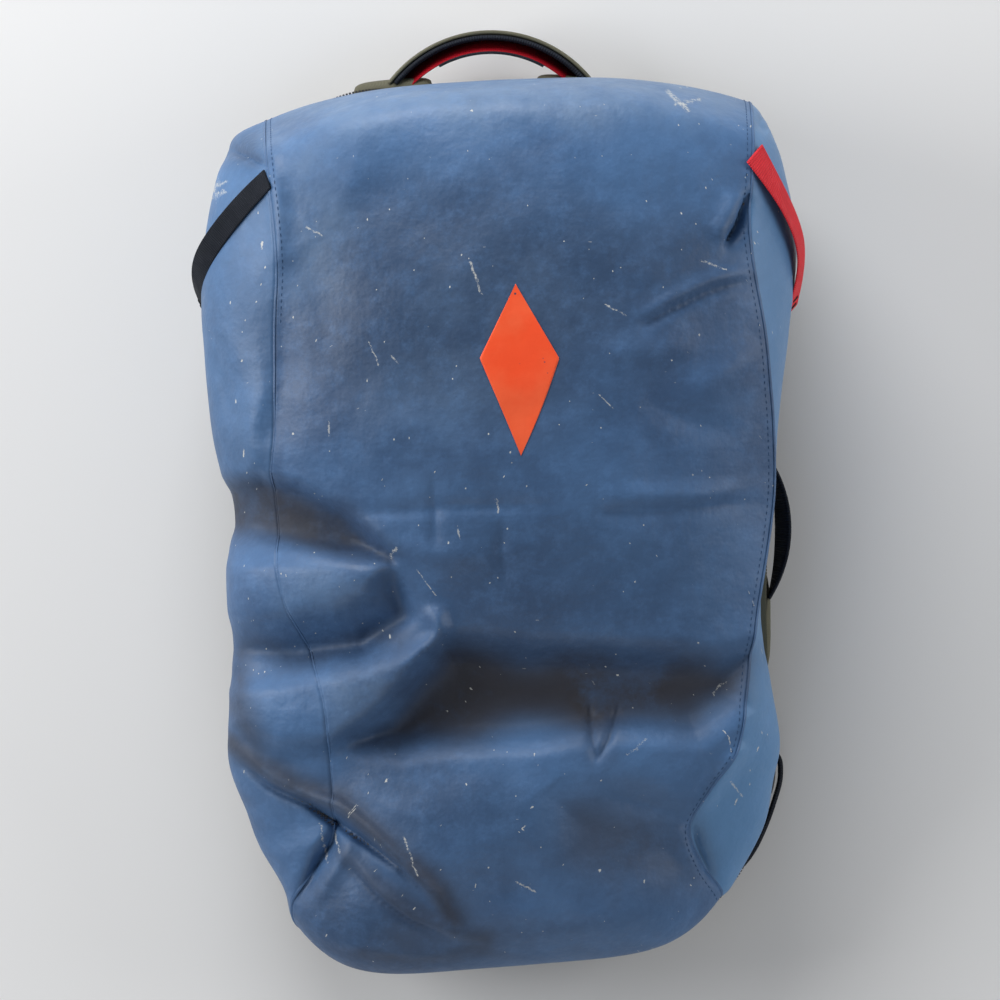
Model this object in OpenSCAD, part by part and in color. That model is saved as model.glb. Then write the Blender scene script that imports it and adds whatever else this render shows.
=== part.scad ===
// Clamshell travel backpack, lying on its back: +Z up through the front, +Y to the top.

/* [Body] */
// Widest width of the filled bag
body_w = 374; // [340:2:460]
// Length of the filled bag without its handle
body_l = 560; // [520:2:680]
// Depth of the filled lid above its zip
lid_depth = 141; // [110:1:180]
// Height of the back shell's fabric wall
rim_h = 17; // [14:1:24]
// Wall of the coated fabric shell
shell_t = 3; // [2:0.5:5]
// Wall of the olive rim
rim_t = 2.5; // [2:0.5:4]

/* [Back shell] */
// Distance of the rim's left edge inside the widest width
rim_inset_left = 37; // [30:1:50]
// Distance of the rim's right edge inside the widest width
rim_inset_right = 22; // [18:1:40]
// Distance of the rim's top edge inside the body length
rim_inset_top = 8; // [2:1:12]
// Distance of the rim's bottom edge inside the body length
rim_inset_bottom = 16; // [6:1:20]
// Radius of the rim's two top corners
corner_top = 75; // [50:1:85]
// Radius of the rim's bottom left corner
corner_low_left = 90; // [60:1:110]
// Radius of the rim's bottom right corner
corner_low_right = 100; // [60:1:110]
// Thickness of the back panel
panel_t = 3; // [2:0.5:5]
// Thickness of the stiffening sheet
sheet_t = 1.6; // [1:0.2:3]
// Height of the back panel above the ground
panel_z = 26; // [25:1:34]
// Thickness of the mesh back pads
back_pad_t = 12; // [8:1:12]
// Thickness of the lumbar pad under the wings
lumbar_t = 9; // [7:0.5:10]
// Half width of the lumbar pad
lumbar_half = 100; // [90:1:104]

/* [Zip] */
// Thickness of one half of the zip
zip_t = 2.4; // [1.6:0.2:3]
// How far the zip stands out of the rim
zip_out = 4; // [3:0.5:6]
// Slack between the two zip halves
zip_gap = 0.4; // [0.3:0.1:0.8]
// Length of a slider body
slider_l = 14; // [10:1:20]
// Length of a pull
pull_l = 36; // [24:1:44]
// Radius of the pull's post
post_r = 1.2; // [1:0.1:1.6]

/* [Handles] */
// How far the top handle stands past the body
handle_reach = 31; // [26:1:45]
// Half span of the top handle at the body
handle_half = 66.5; // [55:0.5:80]
// Width of the top handle band
handle_w = 18; // [14:1:18]
// Half span of the side handle
side_half = 46; // [38:1:60]
// How far the side handle bows out
side_bow = 12; // [9:0.5:20]
// Width of the side handle webbing
side_w = 13; // [10:1:14]

/* [Harness] */
// Thickness of a shoulder pad
strap_t = 9.5; // [7:0.5:10]
// Length of a shoulder pad
strap_l = 253; // [220:1:280]
// Width of the wide webbing
webbing_w = 22; // [18:1:25]
// Thickness of all webbing
webbing_t = 1.5; // [1:0.1:1.6]
// Thickness of a hip wing
wing_t = 8; // [6:0.5:8]
// Width of a hip wing
wing_w = 82; // [70:1:84]
// Radius of a sternum rail
rail_r = 1.5; // [1.2:0.1:2]

/* [Hidden] */
eps = 0.01;
clear = 0.3;
BLUE = "steelblue";
OLIVE = "darkolivegreen";
BLACK = [0.09, 0.10, 0.12];
GREY = [0.35, 0.37, 0.40];

// Heights, from the ground up
wing_z = lumbar_t + 0.6;
wall_z = panel_z + panel_t;
zip_z = wall_z + rim_h;
lid_zip_z = zip_z + zip_t + zip_gap;
lid_z = lid_zip_z + zip_t;
strap_z = 3;
grip_z = (wall_z + zip_z) / 2;

// Plan of the body and of the rim
half_w = body_w / 2;
half_l = body_l / 2;
body_cy = -handle_reach / 2;
rim_x0 = -half_w + rim_inset_left;
rim_x1 = half_w - rim_inset_right;
rim_y0 = body_cy - half_l + rim_inset_bottom;
rim_y1 = body_cy + half_l - rim_inset_top;

// The lid in stations from the top edge to the bottom edge, in percent of the half width,
// the half length and the lid's depth.
// Left seam: x, y, z
SEAM_L = [[-74, 92, 0], [-79, 91, 18], [-79, 86, 55], [-78, 79, 74], [-75, 61, 78], [-76, 43, 77],
          [-76, 21, 72], [-77, 4, 62], [-71, -18, 55], [-59, -38, 52], [-57, -54, 46],
          [-56, -66, 42], [-59, -74, 36], [-70, -85, 24], [-67.5, -91, 12], [-61, -90, 0]];
// Right seam: x, y, z
SEAM_R = [[80, 93, 0], [84, 95, 18], [85, 91, 55], [85, 82, 74], [84, 64, 76], [89, 43, 72],
          [92, 21, 62], [92, 4, 55], [87, -18, 54], [84, -36, 54], [80, -50, 48],
          [71, -59, 42], [64, -68, 36], [68, -76, 26], [75, -83, 12], [70, -88, 0]];
// Crown between the seams: y, z
CROWN = [[98, 0], [100, 20], [99, 55], [93, 84], [71, 97], [48, 100], [25, 96], [4, 88],
         [-18, 76], [-36, 64], [-52, 62], [-66, 60], [-79, 55], [-92, 42], [-99.5, 20], [-96, 0]];
// Widest points of the two gussets: left x, right x, z
BULGE = [[0, 0, 0], [-89, 89, 9], [-93, 93, 28], [-96, 96, 38], [-100, 100, 40], [-100, 97, 40],
         [-97, 93, 38], [-92, 91.5, 34], [-90, 87.5, 32], [-89, 91, 30], [-90, 94, 26],
         [-83, 90.5, 24], [-79, 87, 20], [-72.5, 82.5, 14], [-70, 78, 7], [0, 0, 0]];
// How square the panel is across: its rise is 1 - |2v - 1| to this power
FULL = [3, 3, 3, 2.8, 2.6, 2.6, 2.6, 2.6, 2.6, 2.6, 2.6, 2.8, 3.4, 4.4, 5.5, 5.5];
stations = len(CROWN);
panel_cols = 9;
gusset_cols = 7;
seam_follow = 0.975;

function lerp(a, b, f) = a + (b - a) * f;
function clamp(v, lo, hi) = min(max(v, lo), hi);
function at(x, y, z) = [x / 100 * half_w, body_cy + y / 100 * half_l, lid_z + z / 100 * lid_depth];

// Edge of the rim at a given height y, and at a given x
function arc(r, d) = sqrt(max(r * r - d * d, 0));
function rim_left(y) =
    y > rim_y1 - corner_top ? rim_x0 + corner_top - arc(corner_top, y - rim_y1 + corner_top) :
    y < rim_y0 + corner_low_left
        ? rim_x0 + corner_low_left - arc(corner_low_left, y - rim_y0 - corner_low_left)
        : rim_x0;
function rim_right(y) =
    y > rim_y1 - corner_top ? rim_x1 - corner_top + arc(corner_top, y - rim_y1 + corner_top) :
    y < rim_y0 + corner_low_right
        ? rim_x1 - corner_low_right + arc(corner_low_right, y - rim_y0 - corner_low_right)
        : rim_x1;
function rim_top(x) =
    x < rim_x0 + corner_top ? rim_y1 - corner_top + arc(corner_top, x - rim_x0 - corner_top) :
    x > rim_x1 - corner_top ? rim_y1 - corner_top + arc(corner_top, x - rim_x1 + corner_top) :
    rim_y1;
function rim_bottom(x) =
    x < rim_x0 + corner_low_left
        ? rim_y0 + corner_low_left - arc(corner_low_left, x - rim_x0 - corner_low_left) :
    x > rim_x1 - corner_low_right
        ? rim_y0 + corner_low_right - arc(corner_low_right, x - rim_x1 + corner_low_right)
        : rim_y0;
function on_rim(x, first) = [x, first ? rim_top(x) : rim_bottom(x), lid_z];

// Seam points: the first and last lie on the rim
function seam(list, i) =
    i == 0 || i == stations - 1 ? on_rim(list[i][0] / 100 * half_w, i == 0)
                                : at(list[i][0], list[i][1], list[i][2]);

// A point of the front panel at station i, and v from the left seam to the right seam
function panel_point(i, v) =
    let (l = seam(SEAM_L, i), r = seam(SEAM_R, i), c = at(0, CROWN[i][0], CROWN[i][1]),
         x = lerp(l[0], r[0], v), b = 1 - pow(abs(2 * v - 1), FULL[i]))
    i == 0 || i == stations - 1
        ? on_rim(x, i == 0)
        : [x, lerp(l[1], r[1], v) + (c[1] - (l[1] + r[1]) / 2) * b,
           lerp(l[2], r[2], v) + (c[2] - (l[2] + r[2]) / 2) * b];

// How far up the rim station i meets it: level with the seam, but in order past both ends
function rim_y(list, i) =
    let (y = body_cy + (seam(list, i)[1] - body_cy) * seam_follow)
    i == 0 || i == stations - 1 ? y :
    clamp(y, seam(list, stations - 1)[1] + 10 * (stations - 1 - i), seam(list, 0)[1] - 10 * i);

// A point of a gusset at station i, and w from the seam to the rim: a curve through the bulge
function gusset_point(side, i, w) =
    let (s = seam(side < 0 ? SEAM_L : SEAM_R, i),
         ry = rim_y(side < 0 ? SEAM_L : SEAM_R, i),
         r = [side < 0 ? rim_left(ry) : rim_right(ry), ry, lid_z],
         b0 = at(BULGE[i][side < 0 ? 0 : 1], 0, BULGE[i][2]),
         b = i == 0 || i == stations - 1 ? (s + r) / 2 : [b0[0], (s[1] + r[1]) / 2, b0[2]],
         c = 2 * b - (s + r) / 2)
    (1 - w) * (1 - w) * s + 2 * w * (1 - w) * c + w * w * r;

// Blends of the two between whole stations
function panel_at(t, v) =
    let (i = min(floor(t), stations - 2)) lerp(panel_point(i, v), panel_point(i + 1, v), t - i);
function gusset_at(side, t, w) =
    let (i = min(floor(t), stations - 2))
    lerp(gusset_point(side, i, w), gusset_point(side, i + 1, w), t - i);

// Direction out of the lid at a point, flat where the lid meets its rim
function outward(p) =
    let (s = [clamp(p[0], -0.45 * half_w, 0.45 * half_w),
              clamp(p[1], body_cy - 0.62 * half_l, body_cy + 0.62 * half_l), lid_z],
         d = p - s)
    d / norm(d);
function shifted(p, d) = p + outward(p) * d;

// Closed solid between two grids of points
module between(outer, inner) {
    n = len(outer);
    m = len(outer[0]);
    k = n * m;
    function q(a, b, c, d) = [[a, b, c], [a, c, d]];
    pts = [for (g = [outer, inner]) for (row = g) for (p = row) p];
    faces = [
        for (i = [0:n - 2]) for (j = [0:m - 2])
            each q(i * m + j, i * m + j + 1, (i + 1) * m + j + 1, (i + 1) * m + j),
        for (i = [0:n - 2]) for (j = [0:m - 2])
            each q(k + i * m + j, k + (i + 1) * m + j, k + (i + 1) * m + j + 1, k + i * m + j + 1),
        for (i = [0:n - 2]) each q(i * m, (i + 1) * m, k + (i + 1) * m, k + i * m),
        for (i = [0:n - 2])
            each q((i + 1) * m - 1, k + (i + 1) * m - 1, k + (i + 2) * m - 1, (i + 2) * m - 1),
        for (j = [0:m - 2]) each q(j, k + j, k + j + 1, j + 1),
        for (j = [0:m - 2])
            each q((n - 1) * m + j, (n - 1) * m + j + 1, k + (n - 1) * m + j + 1,
                   k + (n - 1) * m + j)
    ];
    polyhedron(pts, faces);
}

// A skin of thickness t whose outer face stands d out of a grid
module skin(grid, t, d = 0) {
    between([for (row = grid) [for (p = row) shifted(p, d)]],
            [for (row = grid) [for (p = row) shifted(p, d - t)]]);
}

module front_panel() {
    color(BLUE)
        skin([for (i = [0:stations - 1]) [for (j = [0:panel_cols - 1])
            panel_point(i, j / (panel_cols - 1))]], shell_t);
}

module gusset(side) {
    steps = [for (j = [0:gusset_cols - 1]) j / (gusset_cols - 1)];
    rows = side > 0 ? steps : [for (j = [gusset_cols - 1:-1:0]) steps[j]];
    color(BLUE)
        skin([for (i = [0:stations - 1]) [for (w = rows) gusset_point(side, i, w)]], shell_t);
}

module gusset_left() { gusset(-1); }
module gusset_right() { gusset(1); }

// A thin bead folded over a seam from station 1 to the last but one
module seam_bead(side) {
    bead_t = 1;
    list = side < 0 ? SEAM_L : SEAM_R;
    on_panel = side < 0 ? 0.01 : 0.99;
    row = function(i) [panel_point(i, on_panel), seam(list, i), gusset_point(side, i, 0.03)];
    grid = [for (i = [1:stations - 2]) let (r = row(i))
        [for (k = side < 0 ? [2, 1, 0] : [0, 1, 2]) shifted(r[k], bead_t + 2 * clear)]];
    color(BLUE) skin(grid, bead_t);
}

module seam_bead_left() { seam_bead(-1); }
module seam_bead_right() { seam_bead(1); }

// Webbing laid over a gusset, from the seam at station t0 to w1 down the gusset at t1
module side_webbing(side, t0, t1, w1) {
    steps = 10;
    stand = 3.6;
    half = 0.19;
    ends = side > 0 ? [1, -1] : [-1, 1];
    grid = [for (k = [0:steps]) let (f = k / steps, t = lerp(t0, t1, f), w = lerp(0.07, w1, f))
        [for (e = ends) shifted(gusset_at(side, t - e * half, w), stand + 3 * sin(180 * f))]];
    skin(grid, webbing_t);
}

module side_webbing_left() { color(BLACK) side_webbing(-1, 3.25, 4.9, 0.62); }
module side_webbing_right() { color("crimson") side_webbing(1, 2.95, 4.6, 0.6); }

// Plain upright lozenge printed on the front panel
module emblem() {
    tall = [4.75, 6.45];
    half = 0.08;
    mid = 0.495;
    steps = 8;
    film_t = 0.6;
    grid = [for (k = [0:steps]) let (f = k / steps,
            w = half * (0.06 + (f < 0.42 ? f / 0.42 : (1 - f) / 0.58)))
        [for (e = [-1, 0, 1]) panel_at(lerp(tall[0], tall[1], f), mid + e * w)]];
    color("orangered") skin(grid, film_t, film_t + 0.8);
}

// Plan of the rim, grown by d
module rim_plan(d = 0) {
    hull() {
        translate([rim_x0 + corner_top, rim_y1 - corner_top]) circle(corner_top + d, $fn = 64);
        translate([rim_x1 - corner_top, rim_y1 - corner_top]) circle(corner_top + d, $fn = 64);
        translate([rim_x0 + corner_low_left, rim_y0 + corner_low_left])
            circle(corner_low_left + d, $fn = 96);
        translate([rim_x1 - corner_low_right, rim_y0 + corner_low_right])
            circle(corner_low_right + d, $fn = 96);
    }
}

module rim_ring(d0, d1, z, h) {
    translate([0, 0, z]) linear_extrude(h) difference() {
        rim_plan(d1);
        rim_plan(d0);
    }
}

// The part of the plan where the lid is hinged and has no zip: all that lies past the hinge line
hinge_y0 = rim_y0 + corner_low_left;
hinge_y1 = rim_y1 - corner_top;
module hinge_side() {
    translate([rim_x0 - 20, hinge_y0, 0]) cube([40, hinge_y1 - hinge_y0, 200]);
    translate([rim_x0 - 20, rim_y0, 0]) cube([21, rim_y1 - rim_y0, 200]);
}

module lid_rim() { color(BLACK) rim_ring(-3, -1 - eps, lid_zip_z, zip_t); }
module zip_lid() {
    color(BLACK) difference() {
        rim_ring(-1, zip_out, lid_zip_z, zip_t);
        hinge_side();
    }
}

// Mesh pocket across the head of the lid, with an elastic edge
pocket_y = 105;
pocket_t = 1.2;
pocket_z = lid_z + 0.2;
module lid_pocket() {
    color(GREY) translate([0, 0, pocket_z]) linear_extrude(pocket_t) intersection() {
        rim_plan(-10);
        translate([-half_w, pocket_y + 8]) square([body_w, half_l]);
    }
}
module lid_pocket_binding() {
    color(BLACK) translate([rim_x0 + 5, pocket_y, pocket_z - 0.5])
        cube([rim_x1 - rim_x0 - 10, 8, 3]);
}

module back_panel() {
    color(OLIVE) translate([0, 0, panel_z]) linear_extrude(panel_t) rim_plan();
}
module frame_sheet() {
    color("gainsboro") translate([0, 0, wall_z]) linear_extrude(sheet_t) rim_plan(-14);
}
module rim_wall() { color(OLIVE) rim_ring(-rim_t, 0, wall_z, rim_h); }
module zip_back() {
    color(BLACK) difference() {
        rim_ring(-1, zip_out, zip_z, zip_t);
        hinge_side();
    }
}

// Tabs that close the two ends of the zip: one at the bottom, one at the hinge's top
tab_x = rim_x0 + corner_low_left;
module zip_end_tabs() {
    color(BLACK) {
        translate([tab_x - 6, body_cy - half_l, zip_z - 4]) cube([12, rim_inset_bottom, 3]);
        translate([rim_x0 - 3, hinge_y1 - 12, wall_z + 6]) cube([3, 12, zip_z - wall_z - 6]);
    }
}
module hinge_strip() {
    color(OLIVE) translate([rim_x0 - 1.2, hinge_y0 + 1, wall_z + 2])
        cube([1.2, hinge_y1 - hinge_y0 - 14, lid_zip_z - wall_z - 2.6]);
}

// Padded sleeve, open towards the top of the bag
sleeve_w = 250;
sleeve_l = 310;
sleeve_in = 15;
sleeve_wall = 3;
sleeve_x = (rim_x0 + rim_x1 - sleeve_w) / 2;
sleeve_y = body_cy - 70;
module laptop_sleeve() {
    color(GREY) translate([sleeve_x, sleeve_y, wall_z + sheet_t]) difference() {
        cube([sleeve_w, sleeve_l, sleeve_in + 4]);
        translate([4, 4, 1]) cube([sleeve_w - 8, sleeve_l, sleeve_in]);
    }
}

// Top handle: a band bowed past the body, turning about the line where its feet are sewn
handle_x = -5.5;
handle_base = body_cy + half_l;
handle_foot = handle_base + 7;
handle_r = (pow(handle_half, 2) + pow(handle_reach, 2)) / (2 * handle_reach);
handle_cy = handle_base + handle_reach - handle_r;
foot_x = arc(handle_r - 7, handle_foot - handle_cy);
module handle_band(r0, r1, w) {
    intersection() {
        translate([handle_x, handle_cy, grip_z - w / 2]) difference() {
            cylinder(h = w, r = r1, $fn = 128);
            translate([0, 0, -1]) cylinder(h = w + 2, r = r0, $fn = 128);
        }
        translate([handle_x - 100, handle_foot, 0]) cube([200, 100, 100]);
    }
}
module handle_cover() {
    color(OLIVE) handle_band(handle_r - 3, handle_r, handle_w - 1);
}
module handle_core() {
    color(BLACK) handle_band(handle_r - 8, handle_r - 3, handle_w);
}
module handle_lining() {
    color("darkred") handle_band(handle_r - 14, handle_r - 8, handle_w - 2);
}
module handle_anchors() {
    anchor_w = 44;
    color(OLIVE) for (s = [-1, 1])
        translate([handle_x + s * foot_x - anchor_w / 2 - (s < 0 ? 8 : -4), rim_y1, wall_z])
            cube([anchor_w, handle_foot - rim_y1 - clear, rim_h - 0.5]);
}

// Side handle: webbing bowed out of the right side
side_y = body_cy - 2.5;
side_x0 = rim_x1 + 6;
side_r = (pow(side_half, 2) + pow(side_bow, 2)) / (2 * side_bow);
side_t = 3;
module side_handle() {
    color(BLACK) intersection() {
        translate([side_x0 + side_bow - side_r, side_y, grip_z - side_w / 2]) difference() {
            cylinder(h = side_w, r = side_r, $fn = 128);
            translate([0, 0, -1]) cylinder(h = side_w + 2, r = side_r - side_t, $fn = 128);
        }
        translate([side_x0, side_y - side_half, 0]) cube([100, 2 * side_half, 100]);
    }
}
module side_handle_tabs() {
    tab_w = 16;
    color(BLACK) for (s = [-1, 1])
        translate([rim_x1, side_y + s * (side_half - 3) - tab_w / 2, grip_z - side_w / 2])
            cube([side_x0 - rim_x1 - clear, tab_w, side_w]);
}

// Sliders ride just outside the zip; each pull turns about an upright post
slider_x = rim_x1 + zip_out + clear;
slider_z0 = zip_z - 1;
slider_h = 2 * zip_t + zip_gap + 2;
post_x = slider_x + 5.2;
upper_y = body_cy + 0.55 * half_l;
lower_y = upper_y - slider_l - 3;
lug_t = 1.2;
module slider(y) {
    color(GREY) translate([0, y, slider_z0]) {
        translate([slider_x, -slider_l / 2, 0]) cube([2.6, slider_l, slider_h]);
        for (z = [0, slider_h - lug_t])
            translate([slider_x, -2, z]) cube([post_x - slider_x + post_r, 4, lug_t]);
        translate([post_x, 0, 0]) cylinder(h = slider_h, r = post_r, $fn = 32);
    }
}
module pull(y, dir) {
    eye_r = post_r + 1.2;
    h = slider_h - 2 * lug_t - 0.6;
    color(BLACK) translate([post_x, y, slider_z0 + (slider_h - h) / 2]) difference() {
        union() {
            cylinder(h = h, r = eye_r, $fn = 32);
            translate([-1.1, dir > 0 ? 0 : -pull_l, 0]) cube([2.2, pull_l, h]);
        }
        translate([0, 0, -1]) cylinder(h = h + 2, r = post_r + 0.1, $fn = 32);
    }
}
module zip_slider_upper() { slider(upper_y); }
module zip_slider_lower() { slider(lower_y); }
module zip_pull_upper() { pull(upper_y, 1); }
module zip_pull_lower() { pull(lower_y, -1); }

// Yoke: the padded block that the shoulder pads are sewn to
yoke_y0 = body_cy + 192;
yoke_half = 105;
module strap_yoke() {
    color(OLIVE) translate([-yoke_half, 0, 0]) rotate([90, 0, 90])
        linear_extrude(2 * yoke_half) polygon([
            [yoke_y0, panel_z], [yoke_y0, 0], [yoke_y0 + 46, 0],
            [yoke_y0 + 56, 8], [yoke_y0 + 56, panel_z]]);
}

module back_pad(side) {
    color(GREY) translate([side > 0 ? 36 : -112, body_cy - 120, panel_z - back_pad_t])
        cube([76, 300, back_pad_t]);
}
module back_pad_left() { back_pad(-1); }
module back_pad_right() { back_pad(1); }

// Lumbar pad: a tunnel that the hip wings slide into
wing_y0 = body_cy - 224;
module lumbar_pad() {
    wall = 9;
    y0 = wing_y0 - 2;
    y1 = wing_y0 + wing_w + 2;
    color(GREY) {
        translate([-lumbar_half, y0 - wall, 0])
            cube([2 * lumbar_half, y1 - y0 + 2 * wall, lumbar_t]);
        for (y = [y0 - wall, y1])
            translate([-lumbar_half, y, lumbar_t])
                cube([2 * lumbar_half, wall, panel_z - lumbar_t]);
    }
}

// Lower webbing: from an anchor at the bottom to past the ladder lock
lower_x = 116;
anchor_y = wing_y0 - 14;
module strap_anchors() {
    color(OLIVE) for (s = [-1, 1])
        translate([s * (lower_x - 4) - 9, anchor_y - 8, strap_z - 0.4])
            cube([18, 12, panel_z - strap_z + 0.4]);
}
strap_y1 = yoke_y0 - 2.2;
strap_y0 = strap_y1 - strap_l;
module lower_webbing(side) {
    tail = 45;
    color(BLACK) translate([side * lower_x - webbing_w / 2, anchor_y + clear, 0.8])
        cube([webbing_w, strap_y0 - 17 - anchor_y + tail, webbing_t]);
}
module lower_webbing_left() { lower_webbing(-1); }
module lower_webbing_right() { lower_webbing(1); }

// Shoulder pad: inner edge straight, then both edges flare out towards the tail
strap_steps = 14;
function strap_inner(q) = 33 + 65 * pow(max(0, (q - 0.65) / 0.35), 1.5);
function strap_outer(q) = 93 + 45 * pow(q, 2.5);
module shoulder_pad(side) {
    function edge(q, x) = [side * x, strap_y1 - strap_l * q];
    qs = [for (k = [0:strap_steps]) k / strap_steps];
    color(OLIVE) translate([0, 0, strap_z]) linear_extrude(strap_t) polygon(concat(
        [for (q = qs) edge(q, strap_inner(q))],
        [for (k = [strap_steps:-1:0]) edge(qs[k], strap_outer(qs[k]))]));
}
module shoulder_webbing(side) {
    color(BLACK) translate([side * 64 - webbing_w / 2, strap_y1 - 0.62 * strap_l, strap_z - webbing_t])
        cube([webbing_w, 0.6 * strap_l, webbing_t]);
}
module ladder_lock(side) {
    color(BLACK) translate([side * lower_x - 15, strap_y0 - 17, strap_z]) difference() {
        cube([30, 17, 5]);
        for (y = [3, 9.5]) translate([3.5, y, -1]) cube([23, 4, 7]);
    }
}
module shoulder_pad_left() { shoulder_pad(-1); }
module shoulder_pad_right() { shoulder_pad(1); }
module shoulder_webbing_left() { shoulder_webbing(-1); }
module shoulder_webbing_right() { shoulder_webbing(1); }
module ladder_lock_left() { ladder_lock(-1); }
module ladder_lock_right() { ladder_lock(1); }

// Sternum rail along the pad's straight inner edge, with a clip that slides on it
rail_x = 27;
rail_z = strap_z + 5;
rail_y1 = strap_y1 - 44;
rail_len = 120;
module sternum_rail(side) {
    color(BLACK) {
        translate([side * rail_x, rail_y1 - rail_len, rail_z]) rotate([-90, 0, 0])
            cylinder(h = rail_len, r = rail_r, $fn = 32);
        for (y = [rail_y1 - rail_len, rail_y1 - 6])
            translate([side > 0 ? rail_x - 2 : -33, y, rail_z - 2])
                cube([33 - rail_x + 2, 6, 4]);
    }
}
clip_y = rail_y1 - 24;
module sternum_clip(side) {
    color(BLACK) difference() {
        translate([side > 0 ? 10 : -31, clip_y, rail_z - 3.5]) cube([21, 14, 7]);
        translate([side * rail_x, clip_y - 1, rail_z]) rotate([-90, 0, 0])
            cylinder(h = 16, r = rail_r + 0.1, $fn = 32);
    }
}
module sternum_webbing(side) {
    color(BLACK) translate([side > 0 ? 5 : -19, clip_y - 60, rail_z - 0.8])
        cube([14, 60, webbing_t]);
}
module sternum_buckle(side) {
    color(BLACK) translate([side > 0 ? 4 : -20, clip_y - 88, rail_z - 3]) difference() {
        cube([16, 28, 6]);
        if (side < 0) translate([3, -1, 1.5]) cube([10, 16, 3]);
        if (side > 0) for (x = [-1, 12]) translate([x, -1, -1]) cube([5, 12, 8]);
    }
}
module sternum_rail_left() { sternum_rail(-1); }
module sternum_rail_right() { sternum_rail(1); }
module sternum_clip_left() { sternum_clip(-1); }
module sternum_clip_right() { sternum_clip(1); }
module sternum_webbing_left() { sternum_webbing(-1); }
module sternum_webbing_right() { sternum_webbing(1); }
module sternum_buckle_left() { sternum_buckle(-1); }
module sternum_buckle_right() { sternum_buckle(1); }

// Hip wings, tucked away: the right one shows a little past the rim
wing_in = 4;
wing_out = [rim_x0 + 3, rim_x1 + 13];
module hip_wing(side) {
    tip = side < 0 ? -wing_out[0] : wing_out[1];
    color(GREY) mirror([side < 0 ? 1 : 0, 0, 0])
        translate([0, wing_y0, wing_z]) linear_extrude(wing_t) hull() {
            translate([wing_in, 0]) square([40, wing_w]);
            translate([tip - 8, wing_w - 8]) circle(8, $fn = 32);
            translate([tip - 18, wing_w - 38]) circle(15, $fn = 32);
            translate([tip - 42, 12]) circle(12, $fn = 32);
        }
}
hip_y = wing_y0 + wing_w / 2;
module hip_webbing(side) {
    color(BLACK) mirror([side < 0 ? 1 : 0, 0, 0])
        translate([20, hip_y - webbing_w / 2, wing_z + wing_t]) cube([110, webbing_w, webbing_t]);
}
module hip_buckle(side) {
    color(BLACK) mirror([side < 0 ? 1 : 0, 0, 0])
        translate([50, hip_y - 15, wing_z + wing_t + webbing_t + clear]) difference() {
            cube([40, 30, 5.6]);
            translate([30, 4, -1]) cube([5, 22, 8]);
            if (side > 0) for (y = [-1, 24]) translate([-1, y, -1]) cube([18, 7, 8]);
            if (side < 0) translate([-1, 5, 1.4]) cube([22, 20, 2.8]);
        }
}
module hip_wing_left() { hip_wing(-1); }
module hip_wing_right() { hip_wing(1); }
module hip_webbing_left() { hip_webbing(-1); }
module hip_webbing_right() { hip_webbing(1); }
module hip_buckle_left() { hip_buckle(-1); }
module hip_buckle_right() { hip_buckle(1); }

front_panel();
gusset_left();
gusset_right();
seam_bead_left();
seam_bead_right();
side_webbing_left();
side_webbing_right();
emblem();
lid_rim();
zip_lid();
lid_pocket();
lid_pocket_binding();
back_panel();
frame_sheet();
rim_wall();
zip_back();
zip_end_tabs();
hinge_strip();
laptop_sleeve();
handle_anchors();
side_handle_tabs();
strap_yoke();
back_pad_left();
back_pad_right();
lumbar_pad();
strap_anchors();
handle_cover();
handle_core();
handle_lining();
side_handle();
zip_slider_upper();
zip_slider_lower();
zip_pull_upper();
zip_pull_lower();
shoulder_pad_left();
shoulder_webbing_left();
ladder_lock_left();
sternum_rail_left();
shoulder_pad_right();
shoulder_webbing_right();
ladder_lock_right();
sternum_rail_right();
lower_webbing_left();
lower_webbing_right();
sternum_clip_left();
sternum_webbing_left();
sternum_buckle_left();
sternum_clip_right();
sternum_webbing_right();
sternum_buckle_right();
hip_wing_left();
hip_webbing_left();
hip_buckle_left();
hip_wing_right();
hip_webbing_right();
hip_buckle_right();
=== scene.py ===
"""Clamshell travel backpack: the visual model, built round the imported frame."""
import math

import bpy
import numpy as np
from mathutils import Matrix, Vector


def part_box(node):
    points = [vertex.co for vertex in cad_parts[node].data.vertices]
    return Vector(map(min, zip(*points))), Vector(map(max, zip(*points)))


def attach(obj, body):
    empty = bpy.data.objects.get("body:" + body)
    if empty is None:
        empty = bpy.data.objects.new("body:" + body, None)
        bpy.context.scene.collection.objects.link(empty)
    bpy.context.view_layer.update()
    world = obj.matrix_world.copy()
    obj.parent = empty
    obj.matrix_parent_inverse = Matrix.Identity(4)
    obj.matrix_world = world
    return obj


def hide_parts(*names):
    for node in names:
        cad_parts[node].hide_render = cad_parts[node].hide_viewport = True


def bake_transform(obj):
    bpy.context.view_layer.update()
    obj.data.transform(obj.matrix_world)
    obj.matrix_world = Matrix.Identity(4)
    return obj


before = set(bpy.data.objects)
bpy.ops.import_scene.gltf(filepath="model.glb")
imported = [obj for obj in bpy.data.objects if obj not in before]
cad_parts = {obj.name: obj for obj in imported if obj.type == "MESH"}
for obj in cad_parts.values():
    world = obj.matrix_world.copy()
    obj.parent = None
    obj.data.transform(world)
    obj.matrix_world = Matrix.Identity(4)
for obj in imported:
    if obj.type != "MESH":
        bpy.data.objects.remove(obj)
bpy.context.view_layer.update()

bl_info = {
    "name": "Clamshell Travel Backpack",
    "version": (1, 0, 0),
    "blender": (4, 5, 0),
    "location": "3D View > Sidebar > Backpack",
    "description": "Builds the fabric, webbing, zip and padding of a clamshell travel backpack",
    "category": "Add Mesh",
}

MM = 0.001


def box(node):
    """Lowest and highest corner of a CAD node, as arrays in metres."""
    low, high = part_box(node)
    return np.array(low), np.array(high)


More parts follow.
